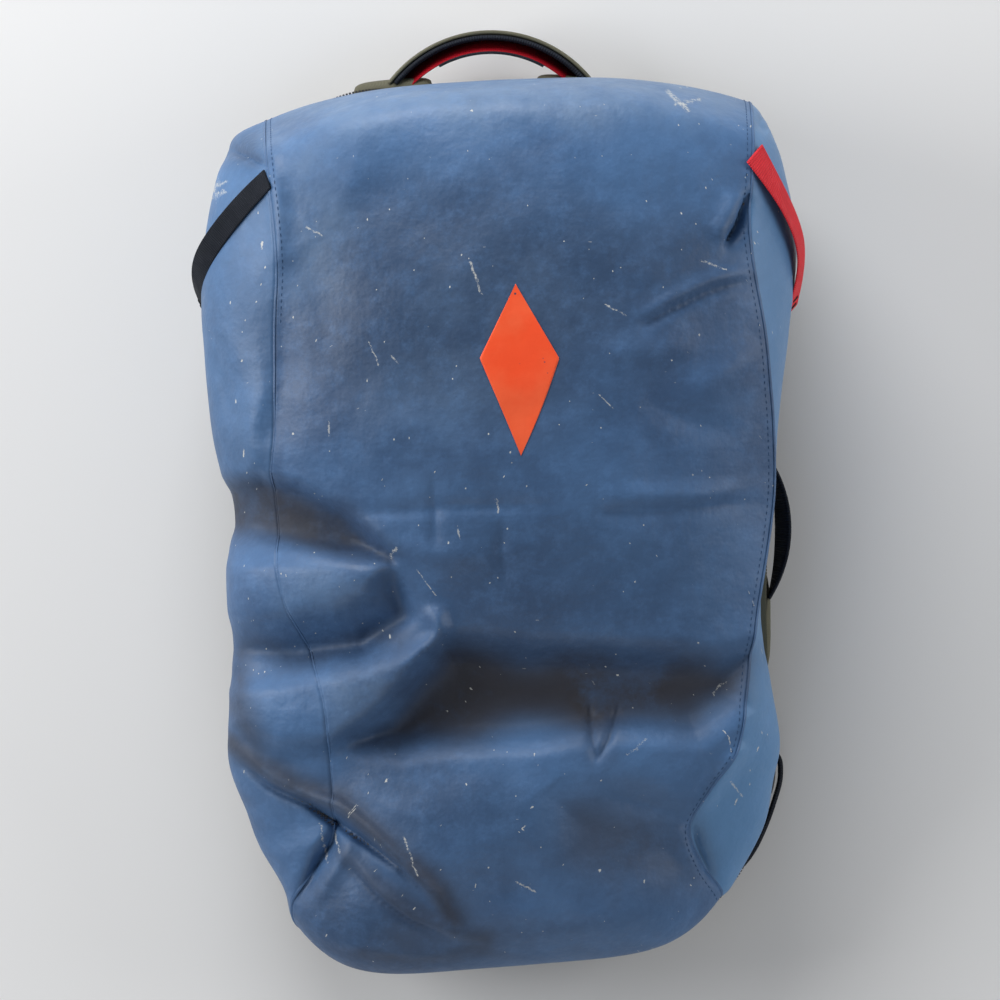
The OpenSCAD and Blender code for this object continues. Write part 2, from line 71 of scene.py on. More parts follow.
# ---------------------------------------------------------------- sizes taken from the frame
PANEL_LOW, PANEL_HIGH = box("front_panel")
RIM_LOW, RIM_HIGH = box("rim_wall")
ZIP_LOW, ZIP_HIGH = box("zip_back")
LID_ZIP_LOW, LID_ZIP_HIGH = box("zip_lid")
LID_Z = box("gusset_left")[0][2]
LID_DEPTH = PANEL_HIGH[2] - LID_Z
HALF_L = box("handle_cover")[1][1] - 15.5 * MM
BODY_CY = -15.5 * MM
HALF_W = RIM_HIGH[0] + 22 * MM
CORNER_TOP = 75 * MM
CORNER_LOW_LEFT = 90 * MM
CORNER_LOW_RIGHT = 100 * MM
GRIP_Z = (RIM_LOW[2] + RIM_HIGH[2]) / 2

# Stations of the lid from its top edge to its bottom edge, in percent of the half width,
# the half length and the depth, as in the part's source.
SEAM_L = [[-74, 92, 0], [-79, 91, 18], [-79, 86, 55], [-78, 79, 74], [-75, 61, 78],
          [-76, 43, 77], [-76, 21, 72], [-77, 4, 62], [-71, -18, 55], [-59, -38, 52],
          [-57, -54, 46], [-56, -66, 42], [-59, -74, 36], [-70, -85, 24], [-67.5, -91, 12],
          [-61, -90, 0]]
SEAM_R = [[80, 93, 0], [84, 95, 18], [85, 91, 55], [85, 82, 74], [84, 64, 76], [89, 43, 72],
          [92, 21, 62], [92, 4, 55], [87, -18, 54], [84, -36, 54], [80, -50, 48],
          [71, -59, 42], [64, -68, 36], [68, -76, 26], [75, -83, 12], [70, -88, 0]]
CROWN = [[98, 0], [100, 20], [99, 55], [93, 84], [71, 97], [48, 100], [25, 96], [4, 88],
         [-18, 76], [-36, 64], [-52, 62], [-66, 60], [-79, 55], [-92, 42], [-99.5, 20],
         [-96, 0]]
BULGE = [[0, 0, 0], [-89, 89, 9], [-93, 93, 28], [-96, 96, 38], [-100, 100, 40],
         [-100, 97, 40], [-97, 93, 38], [-92, 91.5, 34], [-90, 87.5, 32], [-89, 91, 30],
         [-90, 94, 26], [-83, 90.5, 24], [-79, 87, 20], [-72.5, 82.5, 14], [-70, 78, 7],
         [0, 0, 0]]
FULL = [3, 3, 3, 2.8, 2.6, 2.6, 2.6, 2.6, 2.6, 2.6, 2.6, 2.8, 3.4, 4.4, 5.5, 5.5]
LAST = len(CROWN) - 1

# Broad swells and hollows of the slack shell: an outline in plan (mm), its height and how
# soft its edge is
PATCHES = [
    ([(-186, 7), (-150, 13), (-126, 8), (-98, -8), (-67, -36), (-101, -34), (-132, -28),
      (-183, -19)], -14, 7),
    ([(-186, -31), (-126, -38), (-71, -40), (-79, -61), (-101, -75), (-126, -77),
      (-181, -76)], 10, 9),
    ([(-173, -120), (-126, -109), (-88, -103), (-45, -89), (-55, -120), (-79, -140),
      (-105, -153), (-139, -157), (-169, -145)], 11, 10),
    ([(-93, -150), (-71, -138), (-45, -106), (-37, -91), (13, -95), (88, -98), (139, -101),
      (159, -96), (154, -127), (126, -144), (63, -147), (0, -150), (-63, -159)], -15, 13),
    ([(38, -190), (88, -184), (120, -213), (126, -235), (76, -246), (38, -229)], -5, 22),
    ([(-76, -190), (-19, -171), (38, -174), (25, -221), (-19, -240), (-57, -221)], 4, 24),
    ([(-150, -221), (-107, -208), (-126, -249), (-134, -253)], 4, 9),
]

# Folds: a line in plan (mm), its half width, its height, below zero for a crease, and how
# much wider it is on the left of its line than on the right
FOLDS = [
    ([(-173, 221), (-161, 216), (-146, 208)], 3, -6, 0),
    ([(-171, 228), (-158, 224), (-146, 220)], 7, 3, 0),
    ([(157, 192), (151, 174), (141, 158)], 2.6, -11, 0.5),
    ([(152, 192), (144, 175), (135, 160)], 7, 3.5, 0),
    ([(165, 244), (163, 236), (169, 231)], 4, -4, 0),
    ([(87, 108), (107, 119), (129, 129), (155, 137)], 4, -5, 0.2),
    ([(88, 114), (108, 125), (131, 135), (155, 143)], 7, 4, -0.3),
    ([(63, 93), (94, 93), (126, 97)], 9, 2, 0),
    ([(120, 66), (145, 81), (164, 97)], 10, 2.5, 0),
    ([(88, 62), (120, 50), (151, 44)], 8, -2, 0),
    ([(-94, -9), (-44, -6), (38, -4)], 4, -2.2, 0.3),
    ([(57, -8), (101, -6), (159, -1)], 4, -2.5, -0.3),
    ([(63, 1), (113, 3), (159, 8)], 7, 2, 0),
    ([(-93, -18), (-50, -31), (0, -36)], 9, 2, 0),
    ([(-173, -94), (-132, -96), (-88, -90), (-62, -71), (-66, -48)], 8, -9, 0.2),
    ([(-44, -64), (-39, -82), (-44, -98)], 7, 6, 0),
    ([(-169, -155), (-150, -169), (-126, -183), (-101, -191), (-81, -208), (-57, -229),
      (-38, -246), (-28, -269)], 6, 7, -0.2),
    ([(-165, -167), (-142, -182), (-120, -191), (-106, -203), (-81, -219), (-63, -229),
      (-45, -245)], 3.4, -9, 0.4),
    ([(-98, -222), (-77, -242), (-54, -259), (-32, -268), (-10, -275)], 5, 4, -0.2),
    ([(-100, -229), (-79, -248), (-55, -264), (-33, -274)], 3, -4, 0),
    ([(-102, -201), (-106, -218), (-115, -229), (-123, -243), (-131, -256)], 3, -6, 0),
    ([(-93, -212), (-98, -224), (-107, -237), (-118, -256)], 6, 3, 0),
    ([(120, -205), (126, -221), (134, -235), (140, -248)], 3, -6, 0.2),
    ([(112, -206), (120, -225), (127, -240)], 7, 4, 0),
    ([(117, -201), (94, -191), (63, -184)], 8, -3, 0),
    ([(156, -153), (144, -163), (134, -177), (121, -200)], 5, 4, 0.2),
    ([(53, -128), (57, -153), (61, -166)], 2.4, -2.8, 0),
    ([(73, -130), (67, -153), (61, -166)], 2.4, -2.8, 0),
    ([(-44, 14), (-40, -8), (-38, -29)], 4, -1.6, 0),
    ([(2, -10), (0, -34), (4, -56)], 4, -1.8, 0),
    ([(-184, 107), (-175, 75), (-169, 44)], 6, -3, 0),
    ([(-150, 81), (-154, 37), (-150, 18)], 9, 3, 0),
    ([(-126, 157), (-107, 125), (-120, 62)], 22, -3, 0),
    ([(-94, 201), (-50, 188), (-19, 151)], 26, -3, 0),
    ([(38, 201), (88, 188), (126, 195)], 22, -2, 0),
    ([(-132, 239), (-63, 248), (38, 250), (126, 242)], 14, 3, 0),
    ([(-19, -262), (38, -268), (94, -256)], 12, 3, 0),
    ([(-107, -278), (-76, -284), (-19, -287)], 5, 2, 0),
    ([(-144, 233), (-141, 188), (-136, 144)], 5, 2.5, 0),
    ([(-135, 125), (-140, 75), (-144, 31)], 12, -3, 0),
    ([(-88, 62), (-50, 37), (0, 18)], 16, 2, 0),
]

# Brown dirt with painted shade in the hollows of the shell, and brown wear with painted reflection
# along its ridges: an outline or a line in plan (mm), its strength and its softness
SHADE_AND_DIRT = [
    ([(-186, 9), (-150, 13), (-126, 8), (-98, -8), (-67, -36), (-101, -34), (-132, -28),
      (-183, -19)], 1.0, 9),
    ([(-93, -150), (-71, -138), (-45, -106), (-37, -91), (13, -95), (88, -98), (139, -101),
      (159, -96), (154, -122), (126, -138), (63, -142), (0, -145), (-63, -159)], 1.02, 17),
    ([(-169, -84), (-132, -89), (-88, -84), (-63, -70), (-64, -89), (-94, -98), (-132, -103),
      (-166, -98)], 0.55, 9),
    ([(-169, -95), (-161, -98), (-150, -139), (-132, -171), (-150, -167), (-165, -152),
      (-170, -127)], 0.7, 9),
    ([(38, -190), (88, -184), (120, -213), (126, -235), (76, -246), (38, -229)], 0.7, 24),
    ([(-73, -34), (-63, -48), (-66, -72), (-79, -60)], 0.45, 9),
    ([(50, -126), (76, -126), (74, -170), (52, -170)], 0.25, 14),
]
# Lines: brown wear with painted reflection along two ridges, and painted shade at the left end of
# the top hollow
SHADE_AND_DIRT_LINES = [
    ([(-169, -153), (-150, -167), (-126, -181), (-101, -189), (-81, -206), (-57, -227),
      (-38, -244), (-28, -267)], 0.8, 9),
    ([(-98, -222), (-77, -242), (-54, -259), (-32, -268), (-10, -275)], 0.55, 8),
    ([(-180, -14), (-183, -22)], 0.6, 8),
]

# Painted shade, where the blue is drawn deeper, and painted highlights, where it is drawn paler
PAINTED_SHADE = [
    ([(-172, 232), (-150, 236), (-146, 214), (-160, 207), (-176, 216)], 0.9, 9),
    ([(-126, 188), (-50, 212), (38, 195), (148, 180), (142, 145), (88, 112), (38, 60),
      (-44, 50), (-107, 50), (-136, 105)], 0.75, 42),
    ([(-100, -165), (-40, -165), (20, -180), (20, -215), (-60, -215)], 0.5, 26),
    ([(-44, -10), (40, -6), (150, -10), (150, -90), (-30, -88)], 0.35, 24),
    ([(-110, -225), (-60, -262), (-30, -286), (-112, -286), (-128, -262)], 0.6, 14),
]
# Painted highlights: paler blue on the lit top roll, on lit swells and as a broad sheen mid-panel
PAINTED_HIGHLIGHT = [
    ([(-146, 262), (-60, 290), (60, 290), (160, 270), (156, 240), (60, 236), (-60, 236),
      (-140, 228)], 0.85, 16),
    ([(-142, 228), (-110, 222), (-96, 170), (-104, 130), (-132, 120)], 0.5, 20),
    ([(-40, 150), (20, 156), (60, 110), (20, 40), (-60, 20), (-80, 60)], 0.25, 40),
    ([(-130, -44), (-80, -42), (-96, -68), (-140, -72)], 0.5, 12),
    ([(-110, -112), (-60, -100), (-66, -124), (-100, -142)], 0.65, 12),
]

SPINE_X = 0.45
SPINE_Y = 0.62


# ---------------------------------------------------------------- curves and surfaces
def rim_edge(x, top):
    """Edge of the rim at x: a straight edge between two corner arcs."""
    left = CORNER_TOP if top else CORNER_LOW_LEFT
    right = CORNER_TOP if top else CORNER_LOW_RIGHT
    d_left = np.clip(RIM_LOW[0] + left - x, 0, left)
    d_right = np.clip(x - RIM_HIGH[0] + right, 0, right)
    drop = left - np.sqrt(left**2 - d_left**2) + right - np.sqrt(right**2 - d_right**2)
    return RIM_HIGH[1] - drop if top else RIM_LOW[1] + drop


def rim_side(y, side, inset=0.0):
    """Edge of the rim at y, on the left or right, moved in by inset: a straight edge between
    two corner arcs."""
    low = CORNER_LOW_LEFT if side < 0 else CORNER_LOW_RIGHT
    d_top = np.clip(y - RIM_HIGH[1] + CORNER_TOP, 0, CORNER_TOP - inset)
    d_low = np.clip(RIM_LOW[1] + low - y, 0, low - inset)
    drop = (CORNER_TOP - np.sqrt((CORNER_TOP - inset)**2 - d_top**2)
            + low - np.sqrt((low - inset)**2 - d_low**2)) - inset
    return RIM_LOW[0] + drop if side < 0 else RIM_HIGH[0] - drop


def through(table, t):
    """Catmull-Rom curve through the rows of a table, read at t = 0 .. rows - 1."""
    table = np.asarray(table, float)
    n = len(table)
    t = np.clip(np.asarray(t, float), 0, n - 1)
    i = np.minimum(t.astype(int), n - 2)
    f = (t - i)[..., None]
    padded = np.vstack([2 * table[0] - table[1], table, 2 * table[-1] - table[-2]])
    a, b, c, d = (padded[i + k] for k in range(4))
    return 0.5 * (2 * b + (c - a) * f + (2 * a - 5 * b + 4 * c - d) * f**2
                  + (3 * b - a - 3 * c + d) * f**3)


def placed(rows):
    """Percent rows of x, y, z as points in metres."""
    rows = np.asarray(rows, float) / 100
    return np.stack([rows[:, 0] * HALF_W, BODY_CY + rows[:, 1] * HALF_L,
                     LID_Z + rows[:, 2] * LID_DEPTH], 1)


def seam_points(side):
    """Stations of one seam, with both ends on the rim."""
    pts = placed(SEAM_L if side < 0 else SEAM_R)
    for i, top in ((0, True), (LAST, False)):
        pts[i] = (pts[i, 0], rim_edge(pts[i, 0], top), LID_Z)
    return pts


def lid_panel(t, v):
    """Front panel: between the seam curves at station t, raised to the crown by
    1 - |2v - 1|^full, and pulled onto the rim over the first and last station."""
    left, right = (through(seam_points(s), t)[:, None] for s in (-1, 1))
    crown = np.array([[0, y, z] for y, z in CROWN])
    top = through(placed(crown), t)[:, None]
    v = np.asarray(v, float)[None, :, None]
    full = np.interp(t, np.arange(LAST + 1), FULL)[:, None, None]
    rise = 1 - np.abs(2 * v - 1)**full
    pts = left + (right - left) * v
    lift = (top - (left + right) / 2) * rise
    lift[..., 0] = 0
    pts = pts + lift
    for near, is_top in ((np.clip(1 - t, 0, 1), True), (np.clip(t - LAST + 1, 0, 1), False)):
        end = 0 if is_top else -1
        error = rim_edge(pts[end, :, 0], is_top) - pts[end, :, 1]
        pts[..., 1] += error[None, :] * (near**2)[:, None]
        pts[..., 2] += (LID_Z - pts[end, :, 2])[None, :] * (near**2)[:, None]
    return pts


def lid_gusset(side, t, w):
    """Gusset: a parabola from the seam through the widest point to the rim."""
    s = seam_points(side)
    ry = BODY_CY + (s[:, 1] - BODY_CY) * 0.975
    k = np.arange(LAST + 1)
    held = np.clip(ry, s[-1, 1] + 10 * MM * (LAST - k), s[0, 1] - 10 * MM * k)
    ry[1:-1] = held[1:-1]
    r = np.stack([rim_side(ry, side), ry, np.full(len(ry), LID_Z)], 1)
    wide = np.asarray(BULGE, float) / 100
    b = np.stack([wide[:, 0 if side < 0 else 1] * HALF_W, (s[:, 1] + r[:, 1]) / 2,
                  LID_Z + wide[:, 2] * LID_DEPTH], 1)
    b[0], b[-1] = (s[0] + r[0]) / 2, (s[-1] + r[-1]) / 2
    s, b, r = (through(p, t)[:, None] for p in (s, b, r))
    c = 2 * b - (s + r) / 2
    w = np.asarray(w, float)[None, :, None]
    return (1 - w)**2 * s + 2 * w * (1 - w) * c + w**2 * r


def outward(p):
    """Unit direction from the lid's inner spine to a point, level at the rim."""
    s = np.stack([np.clip(p[..., 0], -SPINE_X * HALF_W, SPINE_X * HALF_W),
                  np.clip(p[..., 1], BODY_CY - SPINE_Y * HALF_L, BODY_CY + SPINE_Y * HALF_L),
                  np.full(p.shape[:-1], LID_Z)], -1)
    d = p - s
    return d / np.maximum(np.linalg.norm(d, axis=-1, keepdims=True), 1e-9)


def near_line(x, y, line):
    """Distance to a line in plan, which side of it, and how far along it from 0 to 1."""
    best = np.full(x.shape, 1e9)
    signed = np.zeros(x.shape)
    along = np.zeros(x.shape)
    spans = len(line) - 1
    for k in range(spans):
        ax, ay = line[k]
        bx, by = line[k + 1][0] - ax, line[k + 1][1] - ay
        u = np.clip(((x - ax) * bx + (y - ay) * by) / (bx * bx + by * by), 0, 1)
        dx, dy = x - ax - u * bx, y - ay - u * by
        d = np.hypot(dx, dy)
        nearer = d < best
        best = np.where(nearer, d, best)
        signed = np.where(nearer, np.sign(bx * dy - by * dx), signed)
        along = np.where(nearer, (k + u) / spans, along)
    return best, signed, along


def depth_in(x, y, outline):
    """Distance inside an outline in plan, below zero outside it: the distance to its nearest
    edge, with its sign from how many edges lie to one side."""
    best = near_line(x, y, outline + outline[:1])[0]
    inside = np.zeros(x.shape, bool)
    for (ax, ay), (bx, by) in zip(outline, outline[1:] + outline[:1]):
        if ay != by:
            crossed = (ay > y) != (by > y)
            inside ^= crossed & (x < (bx - ax) * (y - ay) / (by - ay) + ax)
    return np.where(inside, best, -best)


def smooth(v):
    """Smooth step of a value held between 0 and 1."""
    v = np.clip(v, 0, 1)
    return v * v * (3 - 2 * v)


def patched(x, y, patches):
    """Sum of outlines in plan, each of its own strength, eased over its soft edge."""
    total = np.zeros(x.shape)
    for outline, strength, soft in patches:
        d = depth_in(x, y, outline)
        total += strength * (0.72 * smooth((soft + d) / (2 * soft))
                             + 0.28 * (1 - np.exp(-np.maximum(d, 0) / 14)))
    return total


def fold_height(p):
    """Height of all folds at a point, in metres: the broad patches, then for each fold line a
    bell curve of the distance to it, with its own width on either side, fading past its ends,
    plus slow ripples, all fading to nothing at the rim."""
    x, y = p[..., 0] / MM, p[..., 1] / MM
    x = x + 2.2 * np.sin(y / 17) * np.sin(x / 29)
    y = y + 2.2 * np.sin(x / 19 + 1) * np.sin(y / 31)
    total = patched(x, y, PATCHES)
    for line, width, height, skew in FOLDS:
        d, signed, along = near_line(x, y, line)
        taper = np.clip(1 - np.abs(2 * along - 1)**3 * 0.85, 0, 1)
        reach = width * (1 + skew * signed)
        total += height * taper * np.exp(-(d / reach)**(1.3 if height < 0 and width < 5 else 1.8))
    total += (0.8 * np.sin(x / 23 + 1.3 * np.sin(y / 41)) * np.sin(y / 31 + 0.9 * np.sin(x / 37))
              + 0.3 * np.sin(x / 11 + 2.1 * np.sin(y / 19)) * np.sin(y / 13 + 1.4 * np.sin(x / 29)))
    return 1.5 * total * MM * smooth((p[..., 2] - LID_Z) / (24 * MM))


def folded(p, lift=0.0):
    """A lid surface point moved out by its folds, less where the wall stands up, and by lift."""
    out = outward(p)
    share = 0.12 + 0.88 * smooth(out[..., 2] / 0.6)
    way = out * np.array([0.3, 0.3, 1.0])
    return p + way * (fold_height(p) * share)[..., None] + out * np.asarray(lift)[..., None]


# ---------------------------------------------------------------- meshes
def grid_faces(n, m, wrap=False, start=0, flip=False):
    """Four-sided faces of an n by m grid of points, closed across if wrap."""
    i, j = np.meshgrid(np.arange(n - 1), np.arange(m if wrap else m - 1), indexing="ij")
    k = (j + 1) % m
    quads = np.stack([i * m + j, i * m + k, (i + 1) * m + k, (i + 1) * m + j], -1).reshape(-1, 4)
    return (quads[:, ::-1] if flip else quads) + start


def new_object(name, points, faces, material, body, uv=None, smooth=True):
    """Mesh object from arrays of points and faces, riding on a body."""
    mesh = bpy.data.meshes.new(name)
    mesh.from_pydata(points.reshape(-1, 3).tolist(), [], [list(map(int, f)) for f in faces])
    mesh.polygons.foreach_set("use_smooth", np.full(len(mesh.polygons), smooth))
    if uv is not None:
        layer = mesh.uv_layers.new(name="UVMap")
        index = np.empty(len(mesh.loops), dtype=np.int32)
        mesh.loops.foreach_get("vertex_index", index)
        layer.data.foreach_set("uv", uv.reshape(-1, 2)[index].astype(np.float32).ravel())
    mesh.materials.append(material)
    mesh.validate()
    mesh.update()
    obj = bpy.data.objects.new(name, mesh)
    bpy.context.scene.collection.objects.link(obj)
    if body:
        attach(obj, body)
    return obj


def paint(obj, name, values):
    """Float attribute on an object's points."""
    layer = obj.data.attributes.new(name, "FLOAT", "POINT")
    layer.data.foreach_set("value", np.asarray(values, np.float32).ravel())


def signed_volume(points, faces):
    """Volume of a closed mesh, below zero if its faces point inwards."""
    p = points.reshape(-1, 3)
    total = 0.0
    for f in (faces[:, [0, 1, 2]], faces[:, [0, 2, 3]]):
        a, b, c = p[f[:, 0]], p[f[:, 1]], p[f[:, 2]]
        total += (a * np.cross(b, c)).sum()
    return total / 6


def shell(name, outer, inner, material, body, uv=None, inside=None):
    """Closed wall between two grids, with its four edges filled. Its inner face may have a
    material of its own."""
    n, m = outer.shape[:2]
    k = n * m
    i = np.arange(n - 1)
    j = np.arange(m - 1)
    sides = [
        np.stack([i * m, (i + 1) * m, k + (i + 1) * m, k + i * m], 1),
        np.stack([(i + 1) * m + m - 1, i * m + m - 1, k + i * m + m - 1,
                  k + (i + 1) * m + m - 1], 1),
        np.stack([j + 1, j, k + j, k + j + 1], 1),
        np.stack([(n - 1) * m + j, (n - 1) * m + j + 1, k + (n - 1) * m + j + 1,
                  k + (n - 1) * m + j], 1),
    ]
    faces = np.vstack([grid_faces(n, m), grid_faces(n, m, start=k, flip=True), *sides])
    points = np.concatenate([outer.reshape(-1, 3), inner.reshape(-1, 3)])
    if signed_volume(points, faces) < 0:
        faces = faces[:, ::-1]
    if uv is not None:
        uv = np.concatenate([uv.reshape(-1, 2), uv.reshape(-1, 2)])
    obj = new_object(name, points, faces, material, body, uv)
    if inside is not None:
        obj.data.materials.append(inside)
        which = np.zeros(len(faces), dtype=np.int32)
        one = (n - 1) * (m - 1)
        which[one:2 * one] = 1
        obj.data.polygons.foreach_set("material_index", which)
    return obj


def tube(name, rings, material, body, uv=None, closed=False):
    """Closed tube through rings of points, shape (rings, points, 3), capped at both ends by a
    middle point unless it runs round on itself."""
    n, m = rings.shape[:2]
    faces = grid_faces(n, m, wrap=True)
    points = rings.reshape(-1, 3)
    if closed:
        j = np.arange(m)
        k = (j + 1) % m
        faces = np.vstack([faces, np.stack([(n - 1) * m + j, (n - 1) * m + k, k, j], 1)])
    else:
        j = np.arange(m)
        k = (j + 1) % m
        first, last = n * m, n * m + 1
        points = np.vstack([points, rings[0].mean(0), rings[-1].mean(0)])
        caps = np.vstack([np.stack([np.full(m, first), k, j, j], 1),
                          np.stack([np.full(m, last), (n - 1) * m + j, (n - 1) * m + k,
                                    (n - 1) * m + k], 1)])
        faces = np.vstack([faces, caps])
    if signed_volume(points, faces) < 0:
        faces = faces[:, ::-1]
    tidy = [list(dict.fromkeys(f)) for f in faces.tolist()]
    if uv is not None and not closed:
        uv = np.concatenate([uv.reshape(-1, 2), uv[0].mean(0)[None], uv[-1].mean(0)[None]])
    return new_object(name, points, tidy, material, body, uv)


def lengths(path):
    """Distance along a path at each of its points."""
    return np.concatenate([[0], np.cumsum(np.linalg.norm(np.diff(path, axis=0), axis=1))])


def unit(v):
    return v / np.maximum(np.linalg.norm(v, axis=-1, keepdims=True), 1e-9)


def band(name, path, across, width, thick, material, body, power=6, count=20):
    """Flat strap: a superellipse of |a/width|^power + |b/thick|^power = 1 carried along a path,
    with a along `across` and b square to it. UV is (across, along) in metres."""
    path = np.asarray(path, float)
    along = unit(np.gradient(path, axis=0))
    across = unit(np.broadcast_to(across, path.shape))
    across = unit(across - along * (across * along).sum(1, keepdims=True))
    up = np.cross(along, across)
    a = np.linspace(0, 2 * np.pi, count, endpoint=False)
    ca = np.sign(np.cos(a)) * np.abs(np.cos(a))**(2 / power)
    sa = np.sign(np.sin(a)) * np.abs(np.sin(a))**(2 / power)
    half = np.broadcast_to(width, len(path))[:, None, None] / 2
    deep = np.broadcast_to(thick, len(path))[:, None, None] / 2
    rings = (path[:, None] + across[:, None] * ca[None, :, None] * half
             + up[:, None] * sa[None, :, None] * deep)
    uv = np.stack(np.broadcast_arrays(half[..., 0] * ca[None], lengths(path)[:, None]), -1)
    return tube(name, rings, material, body, uv)


def pillow(name, centre, half_w, half_h, across, up, material, body,
           power=3.2, ends=9, count=40):
    """Padded form: rings of superellipses along a centre line whose width and height shrink
    to nothing at both ends by (1 - |s|^ends)^(1/ends)."""
    n = len(centre)
    s = np.linspace(-1, 1, n)
    end = (1 - np.abs(s * 0.9995)**ends)**(1 / ends)
    a = np.linspace(0, 2 * np.pi, count, endpoint=False)
    ca = np.sign(np.cos(a)) * np.abs(np.cos(a))**(2 / power)
    sa = np.sign(np.sin(a)) * np.abs(np.sin(a))**(2 / power)
    half_w = np.broadcast_to(half_w, n)[:, None, None]
    half_h = np.broadcast_to(half_h, (n, count) if np.ndim(half_h) == 2 else n)
    if half_h.ndim == 1:
        half_h = half_h[:, None]
    rings = (centre[:, None] + np.asarray(across)[None, None] * ca[None, :, None] * half_w
             * end[:, None, None]
             + np.asarray(up)[None, None] * (sa[None] * half_h * end[:, None])[..., None])
    return tube(name, rings, material, body)


def inflated(obj, cap, box_low, box_high, channels=(), along=0, depth=0.2):
    """Soft pad: an even skin of 5 mm cells is simulated as cloth under a small inner pressure
    with no gravity, each point held within `cap` of its start and inside its box. Sewn channels
    across the pad are pressed in afterwards: height about the middle falls by depth times a
    bell curve of the distance along."""
    scene = bpy.context.scene
    bpy.context.view_layer.objects.active = obj
    skin = obj.modifiers.new("skin", "REMESH")
    skin.mode = "VOXEL"
    skin.voxel_size = 5 * MM
    bpy.ops.object.modifier_apply(modifier=skin.name)
    rest = np.empty(len(obj.data.vertices) * 3)
    obj.data.vertices.foreach_get("co", rest)
    rest = rest.reshape(-1, 3)
    cloth = obj.modifiers.new("cloth", "CLOTH")
    setup = cloth.settings
    setup.quality = 5
    setup.mass = 0.3
    setup.use_pressure = True
    setup.uniform_pressure_force = 4
    setup.effector_weights.gravity = 0
    last = 20
    cloth.point_cache.frame_start, cloth.point_cache.frame_end = 1, last
    for number in range(1, last + 1):
        scene.frame_set(number)
    found = obj.evaluated_get(bpy.context.evaluated_depsgraph_get()).data
    now = np.empty(len(rest) * 3)
    found.vertices.foreach_get("co", now)
    obj.modifiers.remove(cloth)
    scene.frame_set(1)
    move = now.reshape(-1, 3) - rest
    size = np.linalg.norm(move, axis=1, keepdims=True)
    now = rest + move * np.minimum(1, cap / np.maximum(size, 1e-9))
    now = np.clip(now, box_low, box_high)
    middle = (box_low[2] + box_high[2]) / 2
    s = (now[:, along] - box_low[along]) / (box_high[along] - box_low[along])
    length = box_high[along] - box_low[along]
    for g in channels:
        press = depth * np.exp(-((s - g) * length / (4 * MM))**2)
        now[:, 2] = middle + (now[:, 2] - middle) * (1 - press)
    obj.data.vertices.foreach_set("co", now.ravel())
    round_off = obj.modifiers.new("smooth", "SUBSURF")
    round_off.levels = round_off.render_levels = 1
    bpy.ops.object.modifier_apply(modifier=round_off.name)
    obj.data.polygons.foreach_set("use_smooth", np.ones(len(obj.data.polygons), bool))
    obj.data.update()


def eased(n):
    """Positions from 0 to 1, closer together at both ends."""
    return 0.5 - 0.5 * np.cos(np.linspace(0, np.pi, n))


def tiled(name, shape, faces, places, xs, ys, zs, material, body, smooth=False):
    """One small closed form repeated at many places, each with its own three axes."""
    shape = np.asarray(shape, float)
    points = (places[:, None] + xs[:, None] * shape[None, :, :1] + ys[:, None] * shape[None, :, 1:2]
              + zs[:, None] * shape[None, :, 2:])
    faces = np.asarray(faces)
    every = (faces[None] + (np.arange(len(places)) * len(shape))[:, None, None]).reshape(-1, 4)
    if signed_volume(points.reshape(-1, 3), every) < 0:
        every = every[:, ::-1]
    return new_object(name, points, every, material, body, smooth=smooth)


CUBE_FACES = [[0, 1, 3, 2], [4, 6, 7, 5], [0, 4, 5, 1], [2, 3, 7, 6], [0, 2, 6, 4], [1, 5, 7, 3]]


def bar(x, y, z, pinch=0.6):
    """Eight corners of a small bar of size x, y, z whose top is narrower by pinch."""
    return [[sx * x / 2 * (pinch if sz > 0 else 1), sy * y / 2 * (pinch if sz > 0 else 1),
             sz * z / 2] for sx in (-1, 1) for sy in (-1, 1) for sz in (-1, 1)]


